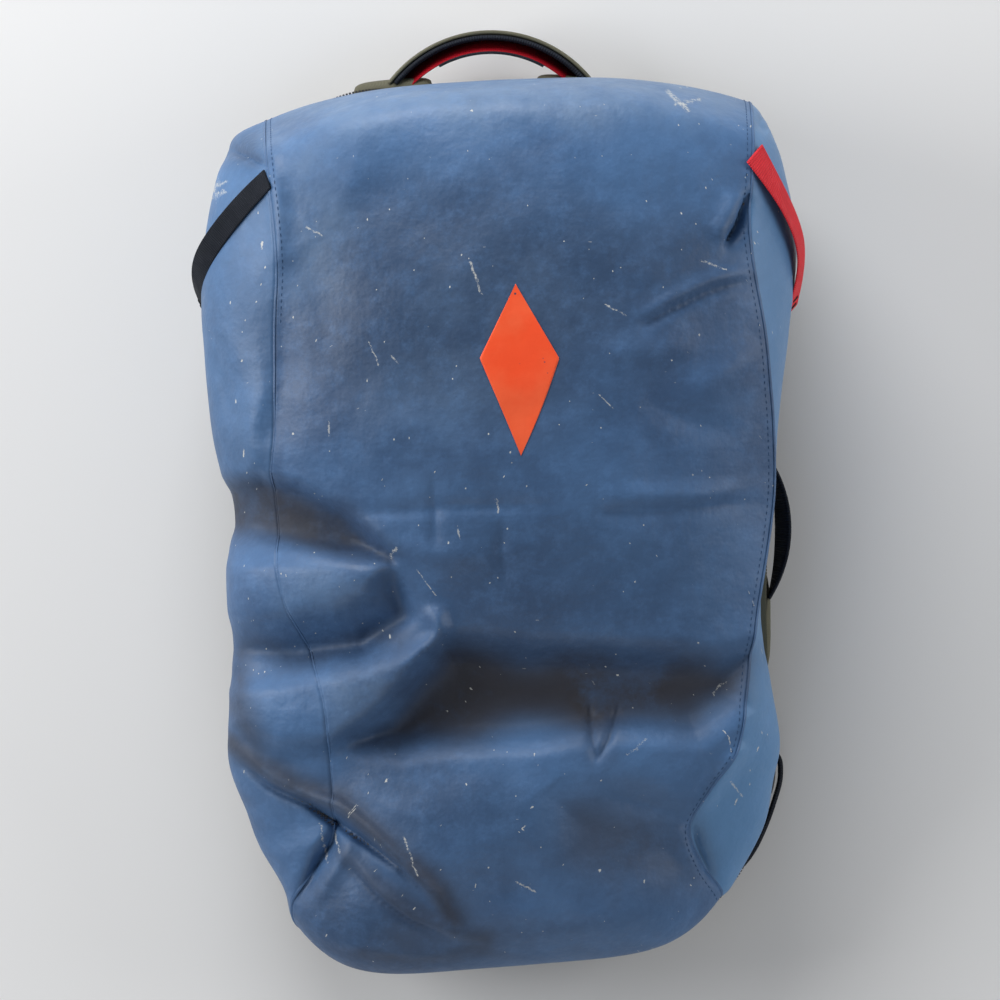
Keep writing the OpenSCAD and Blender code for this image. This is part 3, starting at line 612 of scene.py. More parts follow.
# ---------------------------------------------------------------- materials
class Finish:
    """A node tree that ends in one Principled shader, built a node at a time."""

    def __init__(self, name, **fixed):
        self.material = bpy.data.materials.new(name)
        self.material.use_nodes = True
        self.tree = self.material.node_tree
        self.shader = self.tree.nodes["Principled BSDF"]
        for key, value in fixed.items():
            self.shader.inputs[key.replace("_", " ")].default_value = value
        self.place = self.add("ShaderNodeTexCoord")

    def add(self, kind, **settings):
        node = self.tree.nodes.new(kind)
        for key, value in settings.items():
            setattr(node, key, value)
        return node

    def put(self, socket, value):
        if isinstance(value, bpy.types.NodeSocket):
            self.tree.links.new(value, socket)
        else:
            socket.default_value = value

    def mapped(self, source="Object", scale=(1, 1, 1), turn=0.0, move=(0, 0, 0)):
        node = self.add("ShaderNodeMapping")
        self.put(node.inputs["Vector"], self.place.outputs[source])
        node.inputs["Scale"].default_value = scale
        node.inputs["Rotation"].default_value = (0, 0, turn)
        node.inputs["Location"].default_value = move
        return node.outputs[0]

    def noise(self, scale, detail=4.0, rough=0.55, vector=None, distortion=0.0):
        node = self.add("ShaderNodeTexNoise")
        self.put(node.inputs["Vector"], vector or self.place.outputs["Object"])
        node.inputs["Scale"].default_value = scale
        node.inputs["Detail"].default_value = detail
        node.inputs["Roughness"].default_value = rough
        node.inputs["Distortion"].default_value = distortion
        return node.outputs["Fac"]

    def specks(self, scale, stretch, turn, share, size):
        """Small marks in UV: the middles of randomly chosen cells, ragged at their edge."""
        node = self.add("ShaderNodeTexVoronoi", voronoi_dimensions="2D")
        self.put(node.inputs["Vector"], self.mapped("UV", (1, stretch, 1), turn))
        node.inputs["Scale"].default_value = scale
        split = self.add("ShaderNodeSeparateColor")
        self.put(split.inputs[0], node.outputs["Color"])
        chosen = self.ramp(split.outputs[0], 1 - share, 1.001 - share)
        reach = self.math("MULTIPLY_ADD", split.outputs[1], size, size * 0.3)
        ragged = self.ramp(self.noise(900, 3, 0.7), 0.3, 0.7, 0.4, 1.5)
        near = self.ramp(self.math("DIVIDE", node.outputs["Distance"],
                                   self.math("MULTIPLY", reach, ragged)), 1.0, 0.75)
        return self.math("MULTIPLY", near, chosen)

    def cells(self, scale, vector=None):
        """Distance to the nearest middle of a field of cells."""
        node = self.add("ShaderNodeTexVoronoi")
        self.put(node.inputs["Vector"], vector or self.place.outputs["Object"])
        node.inputs["Scale"].default_value = scale
        return node.outputs["Distance"]

    def wave(self, scale, direction="X", vector=None, distortion=0.0):
        node = self.add("ShaderNodeTexWave", bands_direction=direction)
        self.put(node.inputs["Vector"], vector or self.place.outputs["Object"])
        node.inputs["Scale"].default_value = scale
        node.inputs["Distortion"].default_value = distortion
        return node.outputs["Fac"]

    def math(self, operation, a, b=0.0, c=0.0):
        node = self.add("ShaderNodeMath", operation=operation)
        for socket, value in zip(node.inputs, (a, b, c)):
            self.put(socket, value)
        return node.outputs[0]

    def ramp(self, value, low, high, to_low=0.0, to_high=1.0):
        node = self.add("ShaderNodeMapRange", interpolation_type="SMOOTHSTEP")
        for socket, v in zip(node.inputs, (value, low, high, to_low, to_high)):
            self.put(socket, v)
        return node.outputs[0]

    def mix(self, factor, a, b):
        node = self.add("ShaderNodeMix", data_type="RGBA")
        self.put(node.inputs[0], factor)
        for socket, value in ((node.inputs[6], a), (node.inputs[7], b)):
            self.put(socket, (*value, 1) if isinstance(value, tuple) and len(value) == 3 else value)
        return node.outputs[2]

    def attribute(self, name):
        return self.add("ShaderNodeAttribute", attribute_name=name).outputs["Fac"]

    def bump(self, height, depth, below=None, strength=1.0):
        node = self.add("ShaderNodeBump")
        node.inputs["Strength"].default_value = strength
        node.inputs["Distance"].default_value = depth
        self.put(node.inputs["Height"], height)
        if below is not None:
            self.put(node.inputs["Normal"], below)
        return node.outputs[0]

    def close(self, colour=None, rough=None, normal=None):
        for key, value in (("Base Color", colour), ("Roughness", rough), ("Normal", normal)):
            if value is not None:
                if isinstance(value, tuple) and len(value) == 3:
                    value = (*value, 1)
                self.put(self.shader.inputs[key], value)
        return self.material


# Larger scrapes on the shell: start, end (mm, in plan) and half width (mm)
SCRAPES = [
    ((-18, 148), (-12, 130), 1.0), ((-122, 171), (-112, 166), 0.7), ((126, 150), (142, 144), 0.8),
    ((66, 122), (78, 116), 0.6), ((-82, 99), (-76, 84), 0.5), ((106, 256), (118, 244), 1.9),
    ((-68, 90), (-64, 86), 0.8), ((152, -186), (146, -178), 0.8), ((-106, -200), (-101, -222), 0.7),
    ((-113, -204), (-109, -228), 0.8), ((-2, 0), (-1, -8), 0.8), ((-177, 200), (-180, 194), 1.5),
    ((-60, -212), (-52, -236), 0.6), ((134, -122), (142, -114), 0.6),
    ((-40, -60), (-52, -44), 0.4), ((80, -160), (92, -150), 0.5),
    ((10, -240), (22, -246), 0.6), ((62, 66), (70, 58), 0.5), ((-68, -36), (-65, -30), 1.0),
    ((-180, 196), (-172, 200), 1.2), ((-181, 190), (-173, 194), 0.9), ((110, 248), (126, 252), 1.2),
]


def coated_fabric(name, deep, light, painted_light):
    """Blue coated fabric. Its colour runs from deep to light in slow clouds; painted light lightens
    the gussets, painted shade deepens it, painted highlights pale it, and brown dirt with painted
    shade darkens it, where painted attributes say so; over it lie ragged pale scrapes and specks.
    Relief is a fine base weave, soft crumpling and small creases."""
    f = Finish(name, Specular_IOR_Level=0.42, Coat_Weight=0.06, Coat_Roughness=0.35)
    cloud = f.ramp(f.noise(6.5, 6, 0.62), 0.30, 0.70)
    colour = f.mix(cloud, deep, light)
    # Painted light: the gussets mixed towards a lighter blue
    colour = f.mix(f.attribute("painted_light"), colour, painted_light)
    # Painted shade: darker blue where the deep attribute says so
    colour = f.mix(f.attribute("deep"), colour, tuple(c * 0.55 for c in deep))
    # Painted highlight: paler blue where the pale attribute says so, broken up by noise
    rubbed = f.ramp(f.noise(26, 6, 0.7), 0.3, 0.65, 0.25, 0.8)
    pale = f.math("MULTIPLY", f.attribute("pale"), rubbed)
    colour = f.mix(pale, colour, (0.165, 0.245, 0.37))
    fine = f.ramp(f.noise(70, 6, 0.75), 0.42, 0.78, 0, 0.22)
    colour = f.mix(fine, colour, tuple(c * 1.7 + 0.012 for c in light))
    # Dark brown: dirt with painted shade in the hollows and painted reflection along the ridges,
    # broken up by noise
    soil_and_shade_noise = f.ramp(f.noise(14, 7, 0.72), 0.25, 0.55, 0.45, 1.0)
    dirt_and_shade = f.math("MULTIPLY", f.attribute("dirt_and_shade"), soil_and_shade_noise)
    colour = f.mix(dirt_and_shade, colour, (0.036, 0.035, 0.043))
    faint = f.math("MULTIPLY", f.ramp(f.noise(9, 6, 0.7), 0.56, 0.78), 0.2)
    colour = f.mix(faint, colour, (0.060, 0.062, 0.074))
    marks = f.math("MAXIMUM", f.specks(42, 1.0, 0.3, 0.075, 0.035),
                   f.specks(70, 0.34, 0.6, 0.05, 0.05))
    marks = f.math("MAXIMUM", marks, f.specks(120, 0.8, 1.1, 0.035, 0.06))
    marks = f.math("MAXIMUM", marks, f.specks(210, 0.7, 2.0, 0.02, 0.08))
    marks = f.math("MAXIMUM", marks, f.math("MULTIPLY", f.specks(34, 0.16, -0.5, 0.06, 0.022), 0.6))
    marks = f.math("MAXIMUM", marks, f.math("MULTIPLY", f.specks(30, 5.5, 0.2, 0.05, 0.03), 0.6))
    split = f.add("ShaderNodeSeparateXYZ")
    f.put(split.inputs[0], f.place.outputs["Object"])
    jitter = f.ramp(f.noise(160, 5, 0.85), 0.3, 0.7, -1.3 * MM, 1.3 * MM)
    px = f.math("ADD", split.outputs[0], jitter)
    py = f.math("SUBTRACT", split.outputs[1], jitter)
    broken = f.ramp(f.noise(420, 5, 0.85), 0.44, 0.56, 0.0, 1.0)
    broken = f.math("MULTIPLY", broken, f.attribute("flat"))
    for (ax, ay), (bx, by), half in SCRAPES:
        ax, ay, bx, by, half = (q * MM for q in (ax, ay, bx, by, half))
        dx, dy = bx - ax, by - ay
        size = dx * dx + dy * dy
        rx, ry = f.math("SUBTRACT", px, ax), f.math("SUBTRACT", py, ay)
        u = f.math("ADD", f.math("MULTIPLY", rx, dx / size), f.math("MULTIPLY", ry, dy / size))
        u = f.math("MINIMUM", f.math("MAXIMUM", u, 0.0), 1.0)
        ex = f.math("SUBTRACT", rx, f.math("MULTIPLY", u, dx))
        ey = f.math("SUBTRACT", ry, f.math("MULTIPLY", u, dy))
        gap = f.math("SQRT", f.math("ADD", f.math("MULTIPLY", ex, ex), f.math("MULTIPLY", ey, ey)))
        line = f.math("MULTIPLY", f.ramp(gap, half, half * 0.4, 0, 0.9), broken)
        marks = f.math("MAXIMUM", marks, line)
    marks = f.math("MULTIPLY", marks, 0.85)
    colour = f.mix(marks, colour, (0.62, 0.62, 0.58))
    rough = f.ramp(f.noise(24, 6, 0.7), 0.3, 0.7, 0.42, 0.56)
    rough = f.math("ADD", rough, f.math("MULTIPLY", f.math("MAXIMUM", marks, dirt_and_shade), 0.22))
    weave = f.math("ADD", f.wave(420, "X"), f.wave(420, "Y"))
    normal = f.bump(weave, 0.00002)
    normal = f.bump(f.noise(15, 5, 0.58), 0.0050, normal, 0.5)
    normal = f.bump(f.noise(60, 5, 0.6), 0.0010, normal, 0.5)
    normal = f.bump(f.noise(260, 4, 0.6), 0.00012, normal, 0.7)
    return f.close(colour, rough, normal)


def webbing(name, colour, pale, shine=0.0):
    """Woven strap: ribs across and cords along, from UV in metres."""
    f = Finish(name, Sheen_Weight=shine, Sheen_Roughness=0.5, Specular_IOR_Level=0.12)
    uv = f.place.outputs["UV"]
    ribs = f.wave(190, "Y", uv)
    cords = f.wave(330, "X", uv)
    weave = f.math("MULTIPLY", f.math("ADD", ribs, 0.35), f.math("ADD", cords, 0.45))
    shade = f.math("MULTIPLY", weave, f.ramp(f.noise(60, 4), 0.3, 0.7, 0.45, 0.9))
    normal = f.bump(weave, 0.00035)
    normal = f.bump(f.noise(900, 3), 0.00008, normal, 0.6)
    return f.close(f.mix(shade, colour, pale), f.ramp(f.noise(80, 3), 0.3, 0.7, 0.55, 0.75), normal)


def twill(name, colour, pale, pitch=2400):
    """Twill nylon: fine diagonal lines on object coordinates, with a little fading."""
    f = Finish(name, Specular_IOR_Level=0.2)
    node = f.add("ShaderNodeTexWave", bands_direction="DIAGONAL")
    f.put(node.inputs["Vector"], f.place.outputs["Object"])
    node.inputs["Scale"].default_value = pitch / 4
    node.inputs["Distortion"].default_value = 0.4
    lines = node.outputs["Fac"]
    shade = f.math("MULTIPLY", lines, f.ramp(f.noise(25, 5), 0.3, 0.7, 0.45, 1.0))
    normal = f.bump(lines, 0.00012)
    normal = f.bump(f.noise(45, 4), 0.0012, normal, 0.5)
    return f.close(f.mix(shade, colour, pale), f.ramp(f.noise(70, 3), 0.3, 0.7, 0.5, 0.7), normal)


def spacer_mesh(name, colour, pale):
    """Spacer mesh: rounded holes between knitted threads."""
    f = Finish(name, Sheen_Weight=0.15, Specular_IOR_Level=0.25)
    holes = f.ramp(f.cells(330), 0.12, 0.5)
    normal = f.bump(holes, 0.0007)
    shade = f.math("MULTIPLY", holes, f.ramp(f.noise(40, 3), 0.3, 0.7, 0.6, 1.0))
    return f.close(f.mix(shade, colour, pale), 0.75, normal)


def plain_weave(name, colour, pale, scale=700):
    """Plain weave lining."""
    f = Finish(name, Specular_IOR_Level=0.15)
    weave = f.math("MULTIPLY", f.wave(scale / 3, "X"), f.wave(scale / 3, "Y"))
    shade = f.math("MULTIPLY", weave, f.ramp(f.noise(30, 4), 0.3, 0.7, 0.4, 1.0))
    normal = f.bump(f.noise(50, 4), 0.0012, f.bump(weave, 0.00025), 0.5)
    return f.close(f.mix(shade, colour, pale), 0.68, normal)


def plastic(name, colour, pale, rough=0.42):
    """Moulded plastic with a fine grain and rubbed patches."""
    f = Finish(name, Specular_IOR_Level=0.5)
    normal = f.bump(f.noise(1400, 2), 0.00006)
    colour = f.mix(f.ramp(f.noise(120, 5), 0.5, 0.8, 0, 0.6), colour, pale)
    return f.close(colour, f.ramp(f.noise(90, 3), 0.3, 0.7, rough - 0.06, rough + 0.1), normal)


def printed_film(name, colour, pale):
    """Printed film on the coated shell: small cracks and missing specks."""
    f = Finish(name, Specular_IOR_Level=0.25)
    cloud = f.ramp(f.noise(26, 4), 0.35, 0.7)
    tone = f.mix(cloud, colour, pale)
    gone = f.math("MULTIPLY", f.ramp(f.cells(150), 0.16, 0.08), f.ramp(f.noise(60, 3), 0.56, 0.62))
    tone = f.mix(gone, tone, (0.04, 0.06, 0.10))
    normal = f.bump(f.noise(40, 5, 0.6), 0.0015, None, 0.4)
    return f.close(tone, f.ramp(f.noise(40, 4), 0.3, 0.7, 0.36, 0.5), normal)


def pale_floor(name, colour):
    """Plain pale floor with the slightest unevenness."""
    f = Finish(name, Specular_IOR_Level=0.3)
    tone = f.mix(f.ramp(f.noise(3, 3), 0.3, 0.7, 0, 0.06), colour, tuple(c * 0.93 for c in colour))
    return f.close(tone, 0.6)


MATERIALS = {}


def material(name):
    return MATERIALS[name]


def make_materials(look):
    """All finishes, from the colours of the look panel."""
    deep, light = tuple(look.shell_deep), tuple(look.shell_light)
    # The gusset blue is the shell blue with painted light in it
    lit_gusset_blue = tuple(look.gusset_painted_light)
    olive, black, red = tuple(look.olive), tuple(look.black), tuple(look.red)
    MATERIALS.update(
        shell=coated_fabric("coated_fabric", deep, light, lit_gusset_blue),
        black=webbing("black_webbing", black, tuple(c * 2.2 + 0.004 for c in black)),
        red=webbing("red_webbing", tuple(c * 0.72 for c in red), tuple(c * 1.15 for c in red)),
        olive=twill("olive_nylon", tuple(c * 0.45 for c in olive), olive),
        mesh=spacer_mesh("grey_mesh", (0.015, 0.016, 0.018), (0.15, 0.16, 0.17)),
        tape=plain_weave("zip_tape", (0.008, 0.008, 0.01), (0.05, 0.05, 0.055), 900),
        teeth=plastic("zip_teeth", (0.02, 0.02, 0.022), (0.10, 0.10, 0.11), 0.3),
        lining=plain_weave("grey_lining", (0.10, 0.105, 0.115), (0.28, 0.29, 0.31)),
        red_lining=plain_weave("red_lining", (0.26, 0.002, 0.008), (0.46, 0.008, 0.020)),
        plastic=plastic("black_plastic", (0.014, 0.014, 0.016), (0.06, 0.06, 0.065)),
        metal=plastic("slider_metal", (0.05, 0.05, 0.055), (0.25, 0.25, 0.26), 0.28),
        film=printed_film("emblem_film", (0.98, 0.095, 0.028), (1.0, 0.14, 0.05)),
        thread=plain_weave("thread", (0.045, 0.10, 0.21), (0.08, 0.17, 0.32), 3000),
        dark_thread=plain_weave("dark_thread", (0.006, 0.006, 0.008), (0.04, 0.04, 0.045), 3000),
    )


# ---------------------------------------------------------------- pieces of the lid
def marked(obj, base, copies=1, side=0):
    """Paint on the points of one piece of the shell, from their places in plan: dirt with painted
    shade, painted shade, painted highlights and, on the gussets, painted light. Side is -1 or 1 for
    a gusset, 0 for the front panel."""
    x, y = base[..., 0] / MM, base[..., 1] / MM
    wx = x + 4 * np.sin(y / 9 + 1) * np.sin(x / 13)
    wy = y + 4 * np.sin(x / 11) * np.sin(y / 15 + 2)
    # Dirt with painted shade in the hollows and painted reflection along the ridges
    dirt_and_shade = patched(wx, wy, SHADE_AND_DIRT)
    for line, strength, reach in SHADE_AND_DIRT_LINES:
        d = near_line(x, y, line)[0]
        dirt_and_shade = np.maximum(dirt_and_shade, strength * np.exp(-(d / reach)**2))
    # Darker brown along the bottom edge
    dirt_and_shade = dirt_and_shade + 0.7 * smooth((-281 - wy) / 8) * smooth((base[..., 2] / MM - 84) / 30)
    # Painted shade: darker patches, weaker on the gussets
    deep = patched(wx, wy, PAINTED_SHADE)
    # Painted highlights: paler patches
    pale = patched(wx, wy, PAINTED_HIGHLIGHT)
    # Painted light on the gussets: the right one lighter all over, the left one in its upper part
    painted_light = np.zeros(x.shape)
    if side < 0:
        painted_light = 0.18 * smooth((y + 25) / 45)
        deep *= 0.8
    elif side > 0:
        painted_light = 0.85 + 0.15 * smooth((-100 - y) / 40)
        deep *= 0.3
    flat = smooth(outward(base)[..., 2] / 0.5) if base.ndim == 3 else np.zeros(x.shape)
    for name, values in (("dirt_and_shade", dirt_and_shade), ("deep", deep), ("pale", pale), ("painted_light", painted_light),
                         ("flat", flat)):
        paint(obj, name, np.tile(np.clip(values, 0, 1).ravel(), copies))


def lid_piece(name, base, wall, nodes, side=0):
    """A coated fabric piece of the lid, as a folded wall, with its marks painted on."""
    outer = folded(base)
    inner = outer - outward(base) * wall
    u = np.pad(np.linalg.norm(np.diff(outer, axis=1), axis=2), ((0, 0), (1, 0))).cumsum(1)
    v = np.pad(np.linalg.norm(np.diff(outer, axis=0), axis=2), ((1, 0), (0, 0))).cumsum(0)
    uv = np.stack([u + side * 0.7, v], -1)
    obj = shell(name, outer, inner, material("shell"), "lid", uv,
                material("lining"))
    marked(obj, base, 2, side)
    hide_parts(*nodes)
    return obj


# ---------------------------------------------------------------- properties
class BackpackBody(bpy.types.PropertyGroup):
    wall: bpy.props.FloatProperty(
        name="Shell wall", description="Thickness of the coated fabric and its lining",
        default=1.4 * MM, unit="LENGTH")
    rows: bpy.props.IntProperty(
        name="Rows", description="Rows of points along the shell", default=290, min=60)
    panel_columns: bpy.props.IntProperty(
        name="Panel columns", description="Points across the front panel", default=165, min=40)
    gusset_columns: bpy.props.IntProperty(
        name="Gusset columns", description="Points across a gusset", default=64, min=20)
    webbing_width: bpy.props.FloatProperty(
        name="Side webbing", description="Width of the side webbing", default=19 * MM,
        unit="LENGTH")


class BackpackLook(bpy.types.PropertyGroup):
    shell_deep: bpy.props.FloatVectorProperty(
        name="Deep blue", description="Darker blue of the front panel", subtype="COLOR",
        default=(0.040, 0.088, 0.190), size=3)
    shell_light: bpy.props.FloatVectorProperty(
        name="Light blue", description="Lighter blue of the front panel", subtype="COLOR",
        default=(0.070, 0.162, 0.335), size=3)
    # Painted light: the shell blue as drawn on the lit gussets
    gusset_painted_light: bpy.props.FloatVectorProperty(
        name="Gusset blue", description="Brighter blue of the gussets", subtype="COLOR",
        default=(0.105, 0.240, 0.450), size=3)
    olive: bpy.props.FloatVectorProperty(
        name="Olive", description="Twill of the back shell", subtype="COLOR",
        default=(0.185, 0.178, 0.120), size=3)
    black: bpy.props.FloatVectorProperty(
        name="Black", description="Black webbing", subtype="COLOR",
        default=(0.009, 0.011, 0.016), size=3)
    red: bpy.props.FloatVectorProperty(
        name="Red", description="Red side webbing", subtype="COLOR",
        default=(0.86, 0.045, 0.060), size=3)


# ---------------------------------------------------------------- operators
class BACKPACK_OT_shell(bpy.types.Operator):
    """Front panel and both gussets, as folded coated fabric"""
    bl_idname = "backpack.shell"
    bl_label = "Coated shell"

    def execute(self, context):
        size = context.scene.backpack_body
        t = np.linspace(0, LAST, size.rows)
        lid_piece("coated_front_panel", lid_panel(t, np.linspace(0, 1, size.panel_columns)),
                  size.wall, ["front_panel"])
        w = np.linspace(0, 1, size.gusset_columns)
        lid_piece("coated_gusset_left", lid_gusset(-1, t, w), size.wall, ["gusset_left"], -1)
        lid_piece("coated_gusset_right", lid_gusset(1, t, w), size.wall, ["gusset_right"], 1)
        return {"FINISHED"}


class BACKPACK_OT_seams(bpy.types.Operator):
    """Raised seams between the panel and the gussets, and the stitches beside them"""
    bl_idname = "backpack.seams"
    bl_label = "Seams"

    def execute(self, context):
        size = context.scene.backpack_body
        for side, word in ((-1, "left"), (1, "right")):
            t = np.linspace(0.02, LAST - 0.02, 420)
            sunk = smooth((t - 5.2) / 0.8) * smooth((12.6 - t) / 0.6) if side < 0 else 0 * t
            path = folded(through(seam_points(side), t), (0.1 - 0.35 * sunk) * MM)
            across = unit(np.cross(np.gradient(path, axis=0), outward(path)))
            edge = band(f"seam_edge_{word}", path, across, 1.9 * MM, 0.6 * MM,
                        material("shell"), "lid", power=2.4, count=12)
            spots = np.empty(len(edge.data.vertices) * 3)
            edge.data.vertices.foreach_get("co", spots)
            marked(edge, spots.reshape(-1, 3))
            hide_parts(f"seam_bead_{word}")
            t = np.linspace(0.8, 5.0 if side < 0 else LAST - 0.8, 900)
            v = 4.0 * MM / (2 * 0.85 * HALF_W)
            line = folded(lid_panel(t, np.array([v if side < 0 else 1 - v]))[:, 0], 0.15 * MM)
            far = lengths(line)
            at = np.arange(4 * MM, far[-1] - 4 * MM, 4.2 * MM)
            spots = np.stack([np.interp(at, far, line[:, k]) for k in range(3)], 1)
            ahead = np.stack([np.interp(at + MM, far, line[:, k]) for k in range(3)], 1)
            along = unit(ahead - spots)
            up = outward(spots)
            tiled(f"stitches_{word}", bar(0.45 * MM, 2.3 * MM, 0.4 * MM), CUBE_FACES, spots,
                  unit(np.cross(along, up)), along, up, material("thread"), "lid")
        return {"FINISHED"}


class BACKPACK_OT_emblem(bpy.types.Operator):
    """Plain upright lozenge printed on the front panel"""
    bl_idname = "backpack.emblem"
    bl_label = "Emblem"

    def execute(self, context):
        rows = np.linspace(0, 1, 90)
        t = 4.75 + (6.45 - 4.75) * rows
        half = 0.08 * np.where(rows < 0.42, rows / 0.42, (1 - rows) / 0.58)
        half = np.maximum(half, 0.0006)
        u = np.linspace(-1, 1, 34)
        base = np.stack([lid_panel(np.array([a]), 0.495 + b * u)[0] for a, b in zip(t, half)])
        outer = folded(base, 0.45 * MM)
        inner = folded(base, 0.1 * MM)
        obj = shell("emblem_print", outer, inner, material("film"), "lid")
        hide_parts("emblem")
        return {"FINISHED"}


class BACKPACK_OT_side_webbing(bpy.types.Operator):
    """Black and red webbing laid over the two gussets, with two tacks sewn near one end"""
    bl_idname = "backpack.side_webbing"
    bl_label = "Side webbing"

    def execute(self, context):
        width = context.scene.backpack_body.webbing_width
        for side, word, t0, t1, w1, colour, slot in (
                (-1, "left", 3.12, 4.70, 0.66, "black", "black_webbing"),
                (1, "right", 2.92, 4.72, 0.62, "red", "red_webbing")):
            f = np.linspace(0, 1, 80)
            base = np.stack([lid_gusset(side, np.array([t0 + (t1 - t0) * a]),
                                        np.array([0.0 + w1 * a]))[0, 0] for a in f])
            stand = 1.1 * MM + (2.0 if side < 0 else 4.5) * MM * np.sin(np.pi * f)**1.5
            path = folded(base)
            out = outward(base)
            gap = np.gradient(path, axis=0)
            across = unit(np.cross(gap, out))
            lean = 0.35 * np.sin(np.pi * f)[:, None]
            across = unit(across + out * lean)
            path = path + out * stand[:, None]
            wide = width * (0.74 if side < 0 else 1.05)
            obj = band(f"side_strap_{word}", path, across, wide, 1.5 * MM, material(colour),
                       "lid")
            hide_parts(f"side_webbing_{word}")
            ends = np.array([74, 77])
            along = unit(gap)[ends]
            up = unit(np.cross(across[ends], along))
            up *= np.sign((up * out[ends]).sum(1, keepdims=True))
            tiled(f"side_strap_tack_{word}", bar(width * 0.6, 1.3 * MM, 1.0 * MM), CUBE_FACES,
                  path[ends] + up * 0.9 * MM, across[ends], along, up, material("dark_thread"),
                  "lid")
        return {"FINISHED"}


def rim_path(samples, grow=0.0):
    """Plan of the rim, grown outwards: four corner arcs joined by straight edges, as points
    evenly spaced along it and their outward directions."""
    corners = ((RIM_HIGH[0] - CORNER_TOP, RIM_HIGH[1] - CORNER_TOP, CORNER_TOP, 0),
               (RIM_LOW[0] + CORNER_TOP, RIM_HIGH[1] - CORNER_TOP, CORNER_TOP, 90),
               (RIM_LOW[0] + CORNER_LOW_LEFT, RIM_LOW[1] + CORNER_LOW_LEFT, CORNER_LOW_LEFT, 180),
               (RIM_HIGH[0] - CORNER_LOW_RIGHT, RIM_LOW[1] + CORNER_LOW_RIGHT,
                CORNER_LOW_RIGHT, 270))
    a = np.radians(np.linspace(0, 90, 60))
    pts = np.concatenate([np.stack([cx + (r + grow) * np.cos(a + math.radians(d)),
                                    cy + (r + grow) * np.sin(a + math.radians(d))], 1)
                          for cx, cy, r, d in corners])
    pts = np.vstack([pts, pts[:1]])
    far = lengths(pts)
    at = np.linspace(0, far[-1], samples, endpoint=False)
    plan = np.stack([np.interp(at, far, pts[:, k]) for k in range(2)], 1)
    step = np.roll(plan, -1, 0) - np.roll(plan, 1, 0)
    out = unit(np.stack([step[:, 1], -step[:, 0]], 1))
    return plan, out


def rim_band(name, grow_in, grow_out, z0, z1, mat, body, samples=400, sag=0.0, keep=None,
             swell=0.0):
    """Ring of upright fabric round the rim between two offsets, slightly bellied out by sag,
    and by swell where the wall slumps on the right."""
    plan, out = rim_path(samples)
    s = np.linspace(0, 1, 9)
    outer = [(grow_out + sag * math.sin(math.pi * k), z0 + (z1 - z0) * k) for k in s]
    inner = [(grow_in + sag * math.sin(math.pi * k), z0 + (z1 - z0) * k) for k in s[::-1]]
    profile = np.array(outer + inner)
    slump = swell * ((plan[:, :1] > 0.15) * np.exp(-((plan[:, 1:] + 78 * MM) / (34 * MM))**4))
    full = [max(math.sin(math.pi * (z - z0) / (z1 - z0)), 0)**0.6 for g, z in profile]
    rings = np.stack([np.concatenate([plan + out * (g + slump * k), np.full((samples, 1), z)], 1)
                      for (g, z), k in zip(profile, full)], 1)
    if keep is None:
        return tube(name, rings, mat, body, closed=True)
    return tube(name, rings[keep(plan)], mat, body)


def zip_run(plan):
    """Indexes of the rim points that carry the zip, from the bottom left round to the top."""
    on_hinge = plan[:, 0] < RIM_LOW[0] + 4.8 * MM
    n = len(plan)
    start = int(np.where(on_hinge & ~np.roll(on_hinge, -1))[0][0]) + 1
    return np.array([k % n for k in range(start, start + int((~on_hinge).sum()))])


class BACKPACK_OT_rim(bpy.types.Operator):
    """Olive wall of the back shell, the lid's binding and the fabric hinge"""
    bl_idname = "backpack.rim"
    bl_label = "Rim"

    def execute(self, context):
        wall = rim_band("olive_wall", -2.2 * MM, 0, RIM_LOW[2], RIM_HIGH[2], material("olive"),
                        "root", sag=1.2 * MM, swell=5.2 * MM)
        flap = np.stack([np.full(70, 166 * MM), np.linspace(-126, -28, 70) * MM,
                         np.full(70, 52.0 * MM)], 1)
        flap[:, 0] += 0.5 * MM * np.sin(np.linspace(0, 7, 70)) - 1.5 * MM * np.abs(
            np.linspace(-1, 1, 70))**4
        band("olive_flap", flap, (1, 0, 0), 6 * MM, 1.2 * MM, material("olive"), "lid")
        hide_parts("rim_wall")
        foot = rim_band("olive_foot_piping", -1.2 * MM, 1.6 * MM, RIM_LOW[2] - 1.6 * MM,
                        RIM_LOW[2] + 1.6 * MM, material("tape"), "root", sag=0.8 * MM)
        bind = rim_band("lid_binding", -3 * MM, -1 * MM, LID_ZIP_LOW[2], LID_ZIP_HIGH[2] + 1 * MM,
                        material("black"), "lid")
        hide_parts("lid_rim")
        # Fabric hinge: a strip from the wall up to the lid's edge on the left side
        low, high = box("hinge_strip")
        y = np.linspace(low[1], high[1], 90)
        z = np.linspace(low[2], LID_Z + 6 * MM, 26)
        gy, gz = np.meshgrid(y, z, indexing="ij")
        belly = 1.6 * MM * np.sin(np.pi * (gz - z[0]) / (z[-1] - z[0]))
        ripple = 0.3 * MM * np.sin(gy / (9 * MM))
        outer = np.stack([low[0] - belly - ripple - 0.6 * MM, gy, gz], -1)
        inner = outer + np.array([1.0 * MM, 0, 0])
        strip = shell("hinge_fabric", outer, inner, material("olive"), "root")
        strip.parent = None
        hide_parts("hinge_strip")
        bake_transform(strip)
        return {"FINISHED"}


